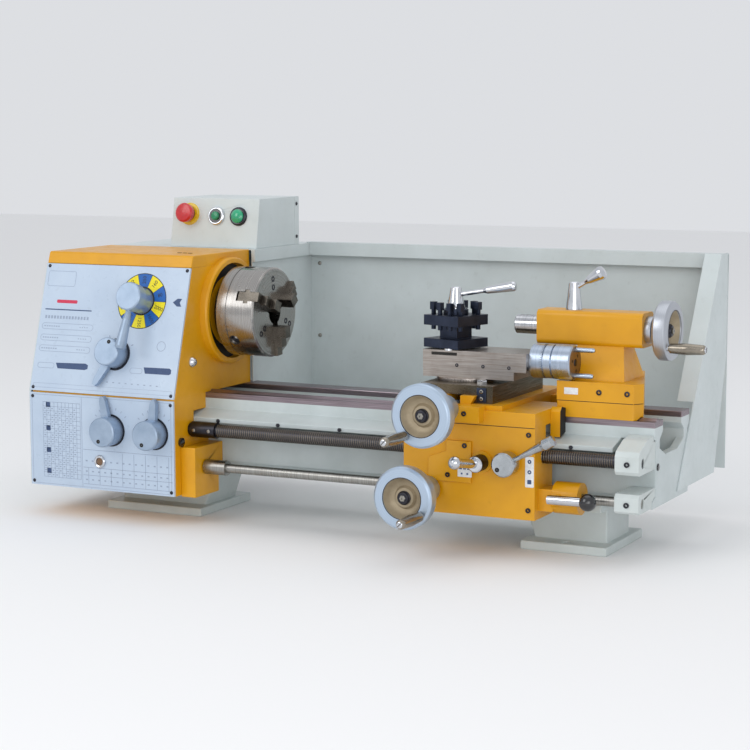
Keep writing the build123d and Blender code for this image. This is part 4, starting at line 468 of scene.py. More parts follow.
def band(low, high, inner, outer, origin, axis, steps=48):
    """A ring with a rectangular section, from low to high along axis."""
    return ring([(low, inner), (high, inner), (high, outer), (low, outer)], origin, axis, steps)


def pad(size, thickness, origin, axis=FRONT, across=RIGHT, edge=0.0):
    """A plate with round corners; size is its length, width and corner radius."""
    return at(plate(oblong(*size), thickness, edge), origin, axis, across)


def piece(name, forms, body, material, smooth=35):
    """One object from several forms in mm, riding on a body."""
    whole = bmesh.new()
    for form in forms:
        passing = bpy.data.meshes.new("passing")
        form.to_mesh(passing)
        form.free()
        whole.from_mesh(passing)
        bpy.data.meshes.remove(passing)
    bmesh.ops.scale(whole, vec=(MM, MM, MM), verts=whole.verts)
    mesh = bpy.data.meshes.new(name)
    for face in whole.faces:
        face.smooth = True
    for edge in whole.edges:
        if len(edge.link_faces) == 2 and edge.calc_face_angle(0) > radians(smooth):
            edge.smooth = False
    whole.to_mesh(mesh)
    whole.free()
    thing = bpy.data.objects.new(name, mesh)
    bpy.context.scene.collection.objects.link(thing)
    mesh.materials.append(material)
    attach(thing, body)
    return thing


def figure(text, size, material, name, body, origin, axis, across):
    """Small plain numbers, as thin raised print."""
    curve = bpy.data.curves.new(name, "FONT")
    curve.body = text
    curve.size = size
    curve.align_x = "CENTER"
    curve.align_y = "CENTER"
    curve.extrude = 0.1
    carrier = bpy.data.objects.new(name + "_outline", curve)
    bpy.context.scene.collection.objects.link(carrier)
    bpy.context.view_layer.update()
    seen = carrier.evaluated_get(bpy.context.evaluated_depsgraph_get())
    flat = bpy.data.meshes.new_from_object(seen)
    bpy.data.objects.remove(carrier)
    form = bmesh.new()
    form.from_mesh(flat)
    bpy.data.meshes.remove(flat)
    bmesh.ops.remove_doubles(form, verts=form.verts, dist=0.0001)
    return piece(name, [at(form, origin, axis, across)], body, material)


# ---------------------------------------------------------------- printed front
lean = atan2(UPPER_LEAN, UPPER_HEIGHT)
panel_up = Vector((0, sin(lean), cos(lean)))
panel_out = Vector((0, -cos(lean), sin(lean)))


def on_upper(x, height, lift=0.0):
    """A point on the leaning panel's face, height given as Z."""
    share = (height - UPPER_FOOT) / UPPER_HEIGHT
    return Vector((x, UPPER_FOOT_Y + share * UPPER_LEAN, height)) + panel_out * (PANEL_SKIN + lift)


def on_lower(x, height):
    """A point on the upright panel's face."""
    return Vector((x, LOWER_FACE, height))


def printed(form, x, height, upper=True, across=RIGHT):
    """Lays a mark on the face of the upper or the lower panel."""
    if upper:
        return at(form, on_upper(x, height), panel_out, across)
    return at(form, on_lower(x, height), FRONT, across)


def bar_mark(start, end, height, width, upper=True, corner=0.3):
    """A printed bar from one X to another."""
    mark = plate(oblong(end - start, width, min(corner, width / 2.1)), INK)
    return printed(mark, (start + end) / 2, height, upper)


def outline_mark(start, end, height, width, corner, stroke=0.7, upper=True):
    """A printed frame from one X to another."""
    mark = frame_line(end - start, width, corner, stroke, INK)
    return printed(mark, (start + end) / 2, height, upper)


def upper_direction(angle):
    """A direction in the leaning panel's face, at an angle in radians from X."""
    return Vector(RIGHT) * cos(angle) + panel_up * sin(angle)


DIAL_SPEEDS = ("80", "160", "250", "380", "560", "800", "1000", "1250", "1600", "2000")
SECTOR_STEP = 360 / len(DIAL_SPEEDS)
SECTOR_GAP = 0.6
NUMBER_RADIUS = 38


def sector(number, steps=8):
    """One flat printed sector of the dial, a little short of its neighbours."""
    start = SECTOR_STEP * number + SECTOR_GAP
    span = SECTOR_STEP - 2 * SECTOR_GAP
    arc = [radians(start + span * step / steps) for step in range(steps + 1)]
    outer = DIAL_RADIUS - 1.5
    points = [(outer * cos(angle), outer * sin(angle)) for angle in arc]
    points += [(DIAL_INNER * cos(angle), DIAL_INNER * sin(angle)) for angle in reversed(arc)]
    return at(plate(points, INK), on_upper(DIAL_X, DIAL_Z, 0.1), panel_out)


for name, first, ink in (("dial_blue_sectors", 0, blue_ink), ("dial_yellow_sectors", 1, yellow_ink)):
    sectors = [sector(number) for number in range(first, len(DIAL_SPEEDS), 2)]
    piece(name, sectors, "frame", ink)
rim = [(DIAL_RADIUS * cos(radians(angle)), DIAL_RADIUS * sin(radians(angle))) for angle in range(0, 360, 5)]
piece("dial_ground", [printed(plate(rim, 0.12), DIAL_X, DIAL_Z)], "frame", black_ink)
for number, label in enumerate(DIAL_SPEEDS):
    outwards = upper_direction(radians(SECTOR_STEP * (number + 0.5)))
    spot = on_upper(DIAL_X, DIAL_Z, 0.3) + outwards * NUMBER_RADIUS
    figure(label, 9.5, black_ink, f"dial_number_{number + 1}", "frame", spot, panel_out, outwards)

# plain bars with one tapered end, and the arrow that points at the dial
LEFT_BAR = ((-35, 4), (28, 5.5), (34, 3), (34, -4), (28, -6), (-30, -6))
RIGHT_BAR = ((-29, 5), (24, 5.5), (28, 3), (28, -4), (24, -6), (-25, -6))
ARROW = ((-9, 0), (0, 7), (9, 7), (5, 0), (9, -7), (0, -7))
navy_marks = [bar_mark(-585, -485, 366.5, 2.0)]
for outline, x, height in ((LEFT_BAR, -511, 269.5), (RIGHT_BAR, -331, 270), (ARROW, -309, DIAL_Z)):
    navy_marks.append(printed(plate(outline, INK), x, height))
for height in (200, 158, 118, 80):
    navy_marks.append(printed(plate(oblong(9, 9, 0.5), INK), -555, height, upper=False))
piece("panel_navy_marks", navy_marks, "frame", navy_ink)
piece("panel_red_mark", [bar_mark(-562, -518, 381, 6, corner=2)], "frame", red_ink)

# frames, with short strokes where a real panel has words
RATING_ROWS = (337, 317, 298)
grey_marks = [outline_mark(-587, -477, height, 11.5, 5.5) for height in RATING_ROWS]
for start, end, height, width, corner in ((-588, -528, 421, 28, 4), (-585, -549, 268, 10, 4.5),
                                          (-388, -362, 268, 10, 4.5)):
    grey_marks.append(outline_mark(start, end, height, width, corner))
for height in RATING_ROWS:
    grey_marks += [bar_mark(-582 + 5 * dash, -579 + 5 * dash, height, 2.2) for dash in range(7)]
    grey_marks += [bar_mark(-506 + 5 * dash, -503.5 + 5 * dash, height, 1.6) for dash in range(4)]
grey_marks += [bar_mark(-583 + 6.4 * dash, -579 + 6.4 * dash, 353, 5.5) for dash in range(15)]
grey_marks += [bar_mark(-460 + 13 * dash, -456 + 13 * dash, 246 - 0.2 * dash, 1.8) for dash in range(11)]
grey_marks.append(band(0, INK, 8, 9, on_upper(-330, 312), panel_out, 32))
grey_marks.append(outline_mark(PANEL_LEFT, PANEL_RIGHT, 233, 8, 1.0, 0.5))

# change-wheel table on the lower panel, drawn coarser than a real one, whose lines would be lost
TABLE_LEFT, TABLE_RIGHT, TABLE_FOOT, TABLE_CELL = -566, -486, 69, 8
TABLE_COLUMNS, TABLE_ROWS = 10, 17
LOWER_MIDDLE = 137
for column in range(TABLE_COLUMNS + 1):
    line = plate(oblong(0.7, TABLE_CELL * TABLE_ROWS, 0.2), INK)
    grey_marks.append(printed(line, TABLE_LEFT + TABLE_CELL * column, LOWER_MIDDLE, upper=False))
for row in range(TABLE_ROWS + 1):
    grey_marks.append(bar_mark(TABLE_LEFT, TABLE_RIGHT, TABLE_FOOT + TABLE_CELL * row, 0.7, upper=False))

# feed table under the two knobs: three rows, of which the top one is split only on the right
for height in (124, 92, 78, 62):
    grey_marks.append(bar_mark(-481, -294, height, 0.9, upper=False))
for column in range(8):
    tall = column > 2
    line = plate(oblong(0.8, 60 if tall else 30, 0.3), INK)
    grey_marks.append(printed(line, -470 + 24 * column, 92 if tall else 77, upper=False))
grey_marks.append(outline_mark(-590, -296, LOWER_MIDDLE, 162, 2.0, 0.7, upper=False))
grey_marks.append(printed(plate(oblong(0.8, 160, 0.3), INK), -483, LOWER_MIDDLE, upper=False))
piece("panel_grey_marks", grey_marks, "frame", grey_ink)

# the entries of both tables as short dashes, with some cells left empty
faint = []
for row in range(TABLE_ROWS - 1):
    for column in range(TABLE_COLUMNS - 1):
        if (row * 5 + column * 3) % 4:
            start = TABLE_LEFT + 2 + TABLE_CELL * column
            faint.append(bar_mark(start, start + 3.5, TABLE_FOOT + 4 + TABLE_CELL * row, 2.0, upper=False))
for height in (70, 85, 104):
    for column in range(14):
        faint.append(bar_mark(-476 + 13 * column, -472 + 13 * column, height, 2.4, upper=False))
# ticks round the knobs
for knob_x in (KNOB_LEFT, KNOB_RIGHT):
    for step in range(7):
        angle = radians(40 + 17 * step)
        faint.append(printed(plate(oblong(4.5, 1.4, 0.5), INK), knob_x + 40 * cos(angle),
                             KNOB_Z + 40 * sin(angle), upper=False, across=(cos(angle), 0, sin(angle))))
for step in range(5):
    outwards = upper_direction(radians(30 + 30 * step))
    faint.append(pad((5, 1.6, 0.6), INK, on_upper(KNOB_LEFT, RANGE_Z) + outwards * 36, panel_out, outwards))
piece("panel_fine_marks", faint, "frame", grey_ink)

# round heads of screws, as (along, radius)
PANEL_SCREW = ((0, 0), (0, 3.2), (1.0, 2.8), (1.6, 1.6), (1.7, 0))
BOX_SCREW = ((0, 0), (0, 3.4), (1.4, 3.0), (2.0, 1.6), (2.1, 0))
GUARD_SCREW = ((0, 0), (0, 4), (1.6, 3.4), (2.4, 2), (2.4, 0))
corner_screws = [turned(PANEL_SCREW, on_upper(x, height), panel_out, 20)
                 for height in (443, 229) for x in (PANEL_LEFT, PANEL_RIGHT)]
corner_screws += [turned(PANEL_SCREW, on_lower(x, height), FRONT, 20)
                  for height in (214, 60) for x in (PANEL_LEFT, PANEL_RIGHT)]
piece("panel_screws", corner_screws, "frame", screw_steel)

sight = on_lower(-444.5, 104.5)
sight_rim = ring([(0, 7.2), (0, 11), (3.4, 11), (4.4, 9.6), (3.4, 7.2)], sight, FRONT)
piece("oil_window_rim", [sight_rim], "frame", bright_chrome)
window = turned([(-1, 0), (-1, 7.2), (1.6, 7.2), (2.4, 4), (2.6, 0)], sight, FRONT)
piece("oil_window", [window], "frame", amber_glass)

# painted shade in the rim round a set screw in each knob's face, and a painted shadow ring round the knob's
# foot
MARK_RADIUS = 17
LOWER_TURN = -0.35
lower_mark = Vector((sin(LOWER_TURN), 0, -cos(LOWER_TURN))) * MARK_RADIUS
upper_mark = panel_up * MARK_RADIUS + Vector((4, 0, 0))
knobs = (("left_knob", on_lower(KNOB_LEFT, KNOB_Z), Vector(FRONT), 32, lower_mark),
         ("right_knob", on_lower(KNOB_RIGHT, KNOB_Z), Vector(FRONT), 32, lower_mark),
         ("range_knob", on_upper(KNOB_LEFT, RANGE_Z), panel_out, 34, upper_mark))
for body, foot, outwards, depth, mark in knobs:
    set_screw = band(-0.2, 0.35, 0.6, 3.6, foot + outwards * depth + mark, outwards, 20)
    piece(body + "_set_screw", [set_screw], body, dark_gaps_and_shade)
    shadow = ring([(0.1, 24), (0.1, 29), (1.4, 28.5), (1.4, 24)], foot, outwards)
    piece(body + "_shadow_ring", [shadow], "frame", screw_steel)

# ---------------------------------------------------------------- headstock
plug_ball = turned([(0, 0), (0, 9.5), (2, 9.5), (4, 8.5), (7.5, 6), (9.5, 3), (10, 0)],
                   (HEAD_SIDE, -125, 284), RIGHT)
piece("oil_plug_ball", [plug_ball], "frame", bright_chrome)
side_plug = turned([(0, 0), (0, 8), (4, 8), (5, 6), (5, 0)], (HEAD_SIDE, -165, 147), RIGHT)
piece("head_side_plug", [side_plug], "frame", black_cap)
vents = [pad((8, 5, 1.5), 0.6, (-352 + 11 * step, -60, 470), UP) for step in range(3)]
piece("cover_vent_marks", vents, "frame", dark_gaps_and_shade)
# a painted shade ring on the headstock's side, round the spindle nose behind the chuck
nose_shade = band(0, 0.6, 63, 85.6, (HEAD_SIDE + 0.1, 0, SPINDLE_Z), RIGHT, 96)
piece("spindle_nose_shade", [nose_shade], "frame", dark_gaps_and_shade)

# ---------------------------------------------------------------- control box
box_lean = atan2(BOX_LEAN, BOX_HEIGHT)
box_out = Vector((0, -cos(box_lean), sin(box_lean)))
STOP_X, START_X, LAMP_X = -431, -372, -325
BUTTON_Z = 528


def on_box(x, height):
    """A point on the control box's leaning face."""
    return Vector((x, BOX_FOOT_Y + (height - BOX_FOOT) * BOX_LEAN / BOX_HEIGHT, height))


def bezel(x, radius):
    """A rounded rim round a button's hole."""
    section = [(0.1, radius - 0.6), (0.1, radius + 3), (4.0, radius + 2.4), (5.4, radius + 0.6),
               (5.4, radius - 0.6)]
    return ring(section, on_box(x, BUTTON_Z), box_out, 64)


stop_section = [(0.1, 13.2), (0.1, 21), (2.5, 20), (3.6, 16), (3.6, 13.2)]
stop_collar = ring(stop_section, on_box(STOP_X, BUTTON_Z + 3), box_out, 64)
piece("stop_collar", [stop_collar], "frame", collar_yellow)
piece("start_bezel", [bezel(START_X, 14.2)], "frame", bright_chrome)
piece("lamp_bezel", [bezel(LAMP_X, 14.6)], "frame", screw_steel)
lens_section = [(4.6, 0), (4.6, 12.6), (7.5, 12.6), (10.5, 9.6), (12.6, 5.2), (13.2, 0)]
lamp_lens = turned(lens_section, on_box(LAMP_X, BUTTON_Z), box_out)
piece("lamp_lens", [lamp_lens], "frame", green_lens)
box_screws = [turned(BOX_SCREW, (x, 250, height), side, 20)
              for x, side in ((-283, RIGHT), (-468, LEFT)) for height in (485, 547)]
piece("box_screws", box_screws, "frame", screw_steel)


# ---------------------------------------------------------------- chuck
def from_spindle(angle):
    """The direction away from the spindle's axis, at an angle in degrees from the operator's side."""
    return Vector((0, -cos(radians(angle)), sin(radians(angle))))


KEY_RADIUS = 70.3
chuck_marks = []
for angle in JAW_ANGLES:
    outwards = from_spindle(angle + 60)
    key_hole = Vector((-237, 0, SPINDLE_Z)) + outwards * KEY_RADIUS
    chuck_marks.append(band(-0.3, 0.25, 6.2, 9.9, key_hole, outwards, 32))
    for radius in (45, 60):
        spot = Vector((CHUCK_FACE, 0, SPINDLE_Z)) + outwards * radius
        chuck_marks.append(band(-0.1, 0.3, 2.4, 5.4, spot, RIGHT, 24))
piece("chuck_screw_rings", chuck_marks, "spindle_line", screw_steel)

# serrations on each jaw's steps: radius, first and last distance from the chuck's face, side that they face
SERRATION = 2.2
JAW_STEPS = ((25, 1, 24, -1), (45, 17, 24, 1), (62, 8, 15, 1))
for number, angle in enumerate(JAW_ANGLES):
    outwards = from_spindle(angle)
    teeth = []
    for radius, low, high, side in JAW_STEPS:
        for step in range(int((high - low) / SERRATION)):
            spot = Vector((CHUCK_FACE + low + 1.2 + SERRATION * step, 0, SPINDLE_Z)) + outwards * radius
            teeth.append(pad((1.2, 17.0, 0.4), 0.5, spot, outwards * side))
    piece(f"jaw_serrations_{number + 1}", teeth, "jaw_" + "abc"[number], jaw_steel)


# ---------------------------------------------------------------- handwheels
def wheel_fittings(body, origin, outwards):
    """The dish, hub washer, hub screw and lip of a handwheel."""
    # the beige cone of the dish, from the rim inwards to the boss and back along its underside
    dish = ring([(-2.2, 34.2), (-3.4, 33.0), (-10.5, 29.5), (-14.6, 24.5), (-15.6, 19.5), (-10.2, 15.6),
                 (-9.8, 11.0), (-12, 10.8), (-17.6, 18), (-19.6, 33.8), (-12, 34.3)], origin, outwards, 72)
    piece(body + "_dish", [dish], body, dish_casting)
    washer = turned([(-10.4, 0), (-10.4, 11.6), (-7.4, 11.4), (-6.2, 9.8), (-4.4, 9.2), (-4.0, 8.4),
                     (-4.0, 0)], origin, outwards)
    piece(body + "_hub_washer", [washer], body, screw_steel)
    hub_screw = turned([(-4.4, 0), (-4.4, 5.4), (-1.8, 5.4), (-1.2, 4.6), (-1.2, 2.0), (-3.0, 1.6),
                        (-3.0, 0)], origin, outwards, 6)
    piece(body + "_hub_screw", [hub_screw], body, gear_steel)
    lip = band(0.05, 0.25, 33.4, 34.6, origin, outwards, 96)
    piece(body + "_lip", [lip], body, screw_steel)


CRANK_RADIUS = 42


def crank_end(name, body, hub, outwards, across, angle, length):
    """The slotted screw in the end of a crank handle, angle being that of the handle from across."""
    out = Vector(outwards)
    sideways = Vector(across) * cos(radians(angle)) + out.cross(Vector(across)) * sin(radians(angle))
    spot = Vector(hub) + sideways * CRANK_RADIUS + out * length
    head = turned([(-0.5, 0), (-0.5, 5.2), (1.0, 5.0), (1.6, 4.0), (1.7, 0)], spot, out, 32)
    piece(name + "_screw", [head], body, bright_chrome)
    # the screw's slot is a flat dark pad: painted shade
    slot = pad((8.4, 1.3, 0.3), 0.3, spot + out * 1.55, out, (1, 0.3, 1))
    piece(name + "_screw_slot", [slot], body, dark_gaps_and_shade)


wheel_fittings("cross_wheel", CROSS_HUB, FRONT)
wheel_fittings("apron_wheel", APRON_HUB, FRONT)
wheel_fittings("tail_wheel", TAIL_HUB, RIGHT)
crank_end("cross_crank", "cross_wheel", CROSS_HUB, FRONT, RIGHT, 231, 76)
crank_end("apron_crank", "apron_wheel", APRON_HUB, FRONT, RIGHT, -38, 76)
crank_end("tail_crank", "tail_wheel", TAIL_HUB, RIGHT, REAR, 216, 62.5)


# ---------------------------------------------------------------- leadscrew
def helix(radius, crest, start, length, pitch, steps=14):
    """A thread ridge wound round the X axis, crest being its height over the radius."""
    turns = length / pitch
    form = bmesh.new()
    section = ((-0.36, -0.4), (-0.12, crest), (0.12, crest), (0.36, -0.4))
    points = [form.verts.new((pitch * along, 0, radius + rise)) for along, rise in section]
    line = [form.edges.new(pair) for pair in zip(points, points[1:] + points[:1])]
    bmesh.ops.spin(form, geom=points + line, cent=(0, 0, 0), axis=RIGHT, dvec=(pitch / steps, 0, 0),
                   angle=2 * pi * turns, steps=int(turns * steps))
    bmesh.ops.holes_fill(form, edges=[edge for edge in form.edges if edge.is_boundary])
    bmesh.ops.recalc_face_normals(form, faces=form.faces)
    bmesh.ops.translate(form, vec=(start, 0, 0), verts=form.verts)
    return form


# one ridge every 4 mm: coarser than a real screw of this size may be, so that it still shows
thread = helix(10.9, 0.85, -232, 732, 4.0)
bmesh.ops.translate(thread, vec=(0, SCREW_Y, SCREW_Z), verts=thread.verts)
# the ridge's lighter colour is partly wear, partly a painted highlight
piece("leadscrew_thread", [thread], "lead_screw", crest_wear_and_highlight, 60)
sleeve_pins = [turned([(-1, 0), (-1, 3), (0.8, 3), (1.2, 2), (1.2, 0)], (x, SCREW_Y - 14, SCREW_Z), FRONT, 20)
               for x in (-276, -246)]
piece("sleeve_pins", sleeve_pins, "lead_screw", gear_steel)

# ---------------------------------------------------------------- bed
LEDGE_SCREW = ((-1, 0), (-1, 3.6), (2.2, 3.6), (2.8, 3.0), (2.8, 0))
ledge_screws = [turned(LEDGE_SCREW, (x, -120, 182), FRONT, 6) for x in (-240, -120, 0, 120, 420)]
piece("ledge_screws", ledge_screws, "frame", screw_steel)
END_PLUG = ((-2, 0), (-2, 6), (1.2, 6), (2.0, 4.6), (2.0, 0))
end_plugs = [turned(END_PLUG, (547, y, 150), RIGHT, 32) for y in (-61, 83)]
piece("bed_end_plugs", end_plugs, "frame", black_cap)
bracket_screws = [band(0, 2.6, 2.0, 4.4, (526, -151, height), FRONT, 24) for height in (SCREW_Z, ROD_Z)]
piece("bracket_screws", bracket_screws, "frame", screw_steel)
RACK_SCREW = ((0, 0), (0, 4.0), (3, 4.0), (3.4, 3.2), (3.4, 0))
rack_screws = [turned(RACK_SCREW, (x, -85, 158), FRONT, 24) for x in (-140, -60, 20, 100, 420, 480)]
piece("rack_screws", rack_screws, "frame", screw_steel)


# ---------------------------------------------------------------- apron and saddle
def socket_screw(radius, height, origin, axis=FRONT):
    """A cap screw's round head with its socket."""
    section = [(0, radius * 0.42), (height, radius * 0.42), (height, radius * 0.86), (height * 0.75, radius),
               (0, radius)]
    return ring(section, origin, axis, 32)


GEAR_PLATE = ((-38, -34), (30, -34), (38, -34), (38, 34), (30, 34), (-6, 34), (-6, 16), (-38, 4))
gear_plate = at(plate(GEAR_PLATE, 5.0, 0.8), (229, APRON_FACE, 154), FRONT)
piece("apron_gear_plate", [gear_plate], "carriage", yellow_enamel)
screw_spots = ((256, APRON_FACE - 5, 181), (226, APRON_FACE - 5, 131), (262, -190, 236), (200, -190, 236),
               (366, APRON_FACE, 205), (366, APRON_FACE, 82))
apron_screws = [socket_screw(4.2, 2.4, spot) for spot in screw_spots]
piece("apron_screws", apron_screws, "carriage", screw_steel)
apron_seam = pad((232, 1.0, 0.3), 0.3, (260.5, APRON_FACE, 216))
piece("apron_seam", [apron_seam], "carriage", dark_gaps_and_shade)

# tags with plain marks for the selector and the half-nut lever
selector_tag = pad((25, 19, 1.0), 1.0, (257, -174, 139), edge=0.2)
piece("selector_tag", [selector_tag], "carriage", label_film)
tag_marks = [pad((5, 2, 0.4), INK, (250 + 7 * step, -175, 143)) for step in range(3)]
tag_marks += [pad((3, 3, 0.4), INK, (252 + 10 * step, -175, 135)) for step in range(2)]
piece("selector_tag_marks", tag_marks, "carriage", navy_ink)
LEVER_TAG_X = 368
lever_tag = pad((15, 50, 2.0), 0.8, (LEVER_TAG_X, APRON_FACE, 145), edge=0.2)
piece("lever_tag", [lever_tag], "carriage", label_film)
lever_marks = [band(0, INK, 1.2, 3.4, (LEVER_TAG_X, APRON_FACE - 0.8, height), FRONT, 20)
               for height in (162, 145)]
lever_marks.append(pad((7, 7, 1.0), INK, (LEVER_TAG_X, APRON_FACE - 0.8, 129)))
piece("lever_tag_marks", lever_marks, "carriage", navy_ink)

# knurled sleeve of the feed selector
SELECTOR_X, SELECTOR_Z, KNURLS = 286, 156, 36
knurl = []
for step in range(KNURLS):
    angle = 2 * pi * step / KNURLS
    outwards = Vector((cos(angle), 0, sin(angle)))
    spot = Vector((SELECTOR_X, -187, SELECTOR_Z)) + outwards * 12.8
    knurl.append(pad((22, 1.2, 0.4), 0.6, spot, outwards, REAR))
piece("selector_knurl", knurl, "selector", screw_steel)
sleeve = ring([(0, 8.1), (0, 13.15), (26, 13.15), (28, 8.2)], (SELECTOR_X, -174.3, SELECTOR_Z), FRONT)
piece("selector_sleeve", [sleeve], "selector", screw_steel)
# painted shade in the socket of the half-nut lever's set screw
nut_screw = band(-0.2, 0.35, 0.6, 3.8, (324, -198.3, 150), FRONT, 20)
piece("half_nut_set_screw", [nut_screw], "nut_lever", dark_gaps_and_shade)
BALL = 14.2
arc = [(BALL * sin(radians(angle)), BALL * cos(radians(angle))) for angle in range(-80, 81, 10)]
ball = turned([(-BALL, 0)] + arc + [(BALL, 0)], (468, -170, 104), RIGHT)
piece("direction_ball", [ball], "clutch_lever", black_cap)
wiper_outline = ((-102, 194), (-81, 200), (-81, 240), (-95, 243), (-102, 236))
wiper_felt = at(plate(wiper_outline, 1.4, 0.2), (394, 0, 0), RIGHT, REAR)
piece("way_wiper", [wiper_felt], "carriage", belt_rubber)

# ---------------------------------------------------------------- cross slide, top slide and toolpost
SWIVEL_X, SCALE_RADIUS = 216, 50
swivel_scale = []
for step in range(31):
    angle = radians(step * 3 - 45)
    outwards = Vector((sin(angle), -cos(angle), 0))
    spot = Vector((SWIVEL_X, TOP_Y, 279.5)) + outwards * SCALE_RADIUS
    tick = (0.7, 4.5 if step % 5 else 6.5, 0.2)
    swivel_scale.append(pad(tick, 0.2, spot, outwards, (cos(angle), sin(angle), 0)))
piece("swivel_scale", swivel_scale, "compound", black_ink)
NUT = ((0, 0), (0, 9), (5, 9), (6, 7.6), (6, 0))
swivel_nuts = [turned(NUT, (x, y, 277), UP, 6) for x, y in ((262, -118), (170, -36))]
piece("swivel_nuts", swivel_nuts, "cross", bright_chrome)
gib_screws = [socket_screw(3.0, 0.8, (x, TOP_SIDE, 304)) for x in (215, 262, 308)]
gib_screws += [socket_screw(3.4, 1.0, (338, y, 303), RIGHT) for y in (-106, -44)]
piece("top_slide_gib_screws", gib_screws, "top", screw_steel)
# the slot in the top slide's front side is a flat dark pad: painted shade
slot = pad((46, 5, 0.6), 0.4, (192, TOP_SIDE, 322))
piece("top_slide_slot", [slot], "top", dark_gaps_and_shade)
plunger = turned([(0, 0), (0, 8), (3, 8), (3.6, 5), (3.6, 0)], (200, -112, 328), UP, 32)
piece("index_plunger", [plunger], "top", bright_chrome)
gib_plates = [pad((17, 24, 0.5), 2.0, (x, -150, 262), edge=0.4) for x in (276, 186)]
piece("cross_gib_plates", gib_plates, "cross", black_steel)
plate_screws = [socket_screw(3.2, 1.2, (x, -152, height)) for x in (276, 186) for height in (256, 268)]
piece("cross_gib_screws", plate_screws, "cross", gear_steel)

# dial of the top slide: a ring of ticks, a bronze-toned end and its holes
DIAL_TICKS = 60
dial_ticks = []
for step in range(DIAL_TICKS):
    angle = 2 * pi * step / DIAL_TICKS
    outwards = Vector((0, cos(angle), sin(angle)))
    spot = Vector((359, TOP_Y, TOP_Z)) + outwards * 28
    dial_ticks.append(pad((3.2 if step % 5 else 6, 0.55, 0.2), 0.15, spot, outwards))
piece("top_dial_ticks", dial_ticks, "top_screw", black_ink)
dial_face = turned([(0, 0), (0, 26.2), (0.5, 26), (0.8, 0)], (408.3, TOP_Y, TOP_Z), RIGHT, 64)
piece("top_dial_face", [dial_face], "top_screw", dial_end_metal)
dial_end = Vector((409.0, TOP_Y, TOP_Z))
dial_holes = []
for angle in (radians(45), radians(165), radians(285)):
    spot = dial_end + Vector((0, sin(angle), cos(angle))) * 14
    dial_holes.append(turned([(0, 0), (0, 2.6), (0.3, 2.5), (0.3, 0)], spot, RIGHT, 24))
dial_holes.append(turned([(0, 0), (0, 6), (1.2, 5.6), (1.6, 4.4), (1.6, 0)], dial_end, RIGHT, 32))
piece("top_dial_holes", dial_holes, "top_screw", screw_steel)
collar = ring([(0.2, 18.2), (0.2, 21), (8, 21), (10, 18.4)], (POST_X, TOP_Y, 384.6), UP, 64)
piece("toolpost_collar", [collar], "post_lever", black_steel)
cone_cap = band(0, 1.0, 9.4, 15.4, (POST_X, TOP_Y, 397), UP, 64)
piece("toolpost_cone_cap", [cone_cap], "post_lever", gear_steel)

# ---------------------------------------------------------------- tailstock
tail_plate = pad((24, 11, 1.0), 0.8, (404, TAIL_FACE, 268), edge=0.2)
piece("tail_plate", [tail_plate], "tailstock", label_film)
# the seam runs along the front, round the cut corner and along the slanted end
SEAM_WIDTH = 0.9
tail_seam = [pad((131, SEAM_WIDTH, 0.3), 0.3, (444.8, TAIL_FACE, TAIL_SEAM)),
             pad((19, SEAM_WIDTH, 0.3), 0.3, (516.5, -71.5, TAIL_SEAM), (16.5, -11, 0), (11, 16.5, 0)),
             pad((181, SEAM_WIDTH, 0.3), 0.3, (379, 10.5, TAIL_SEAM), LEFT, REAR)]
piece("tail_seam", tail_seam, "tailstock", dark_gaps_and_shade)
tail_screws = [socket_screw(4.6, 1.6, (x, TAIL_FACE, 268)) for x in (452, 500)]
piece("tail_screws", tail_screws, "tailstock", screw_steel)
quill_ring = ring([(0, 16.06), (0, 19.5), (1.2, 19.2), (1.2, 16.06)], (322, 0, SPINDLE_Z), LEFT, 64)
piece("quill_ring", [quill_ring], "tailstock", screw_steel)
quill_scale = [pad((0.5, 3.4 if step % 5 else 6, 0.2), 0.12, (284 + step * 2, 0, SPINDLE_Z + 16), UP)
               for step in range(18)]
piece("quill_scale", quill_scale, "tail_quill", black_ink)

# ---------------------------------------------------------------- guard and housing
guard_screws = [turned(GUARD_SCREW, (x, y, height), side, 20) for y, side in ((312, FRONT), (314, REAR))
                for x in (-266, 528) for height in (130, 290, 430)]
guard_screws += [turned(GUARD_SCREW, (x, 320, height), REAR, 20)
                 for x in (-584, -300) for height in (200, 330, 455)]
piece("guard_screws", guard_screws, "frame", gear_steel)
latch = turned([(0, 0), (0, 11), (3, 11), (4, 9.5), (12, 8), (13, 6.5), (13, 0)], (-598, -120, 250), LEFT)
piece("door_latch", [latch], "end_door", black_cap)

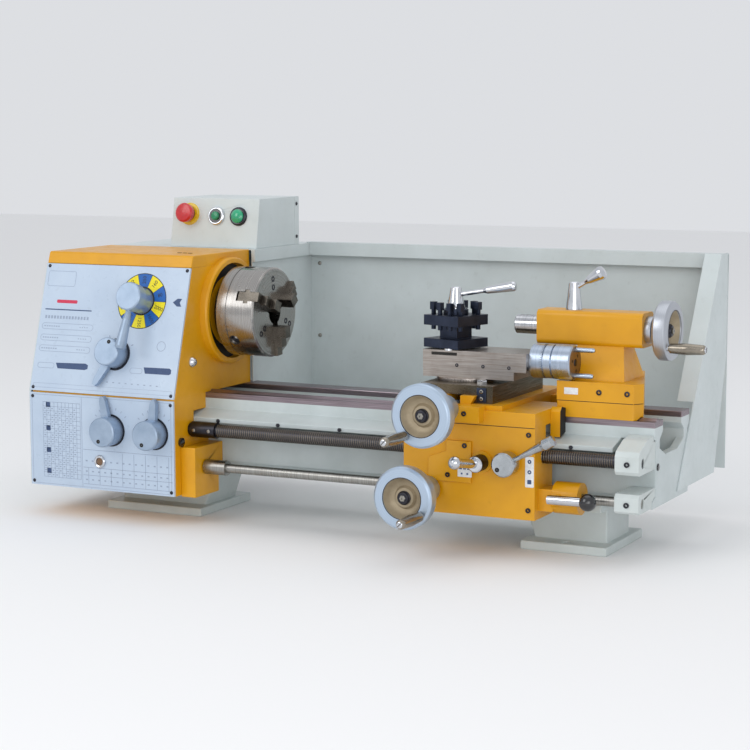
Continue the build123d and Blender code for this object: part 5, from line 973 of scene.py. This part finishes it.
# ---------------------------------------------------------------- floor, light and camera, in metres
floor_form = bmesh.new()
bmesh.ops.create_grid(floor_form, x_segments=1, y_segments=1, size=9)
floor_mesh = bpy.data.meshes.new("floor")
floor_form.to_mesh(floor_mesh)
floor_form.free()
floor = bpy.data.objects.new("floor", floor_mesh)
bpy.context.scene.collection.objects.link(floor)
# a seamless matt studio floor
floor_values = {"Base Color": colour("#F4F4F4"), "Roughness": 0.9}
floor_paint, floor_tree, floor_shader, floor_place = surface("pale_studio_floor", floor_values)
floor_rough = between(floor_tree, spread(floor_tree, floor_place, 900), 0.85, 0.95)
floor_tree.links.new(floor_rough, floor_shader.inputs["Roughness"])
floor_mesh.materials.append(floor_paint)

world = bpy.data.worlds.new("studio")
world.use_nodes = True
sky = world.node_tree.nodes["Background"]
sky.inputs["Color"].default_value = colour("#F4F6FA")
sky.inputs["Strength"].default_value = 0.8
bpy.context.scene.world = world


def softbox(name, place, target, size, power):
    """A square area light aimed at target."""
    light = bpy.data.lights.new(name, "AREA")
    light.size = size
    light.energy = power
    lamp = bpy.data.objects.new(name, light)
    bpy.context.scene.collection.objects.link(lamp)
    lamp.location = place
    lamp.rotation_euler = (Vector(target) - Vector(place)).to_track_quat("-Z", "Y").to_euler()


softbox("key_softbox", (-1.4, -3.0, 2.2), (0, 0, 0.25), 2.0, 30)
softbox("fill_softbox", (2.4, -2.8, 0.9), (0, 0, 0.2), 1.8, 19)
softbox("top_softbox", (0.2, 0.3, 2.8), (0, 0, 0.2), 2.2, 9)
softbox("low_softbox", (1.1, -2.6, 0.12), (0.15, -0.1, 0.1), 1.4, 7)

CAMERA_PLACE = (1.5748, -3.1548, 0.7142)
CAMERA_TURN = (82.7, 0.1, 26.4)      # degrees
lens = bpy.data.cameras.new("camera")
lens.sensor_width = 36.0
lens.lens = 97.45
camera = bpy.data.objects.new("camera", lens)
bpy.context.scene.collection.objects.link(camera)
camera.location = CAMERA_PLACE
camera.rotation_euler = [radians(angle) for angle in CAMERA_TURN]
bpy.context.scene.camera = camera
bpy.context.scene.view_settings.view_transform = "Standard"
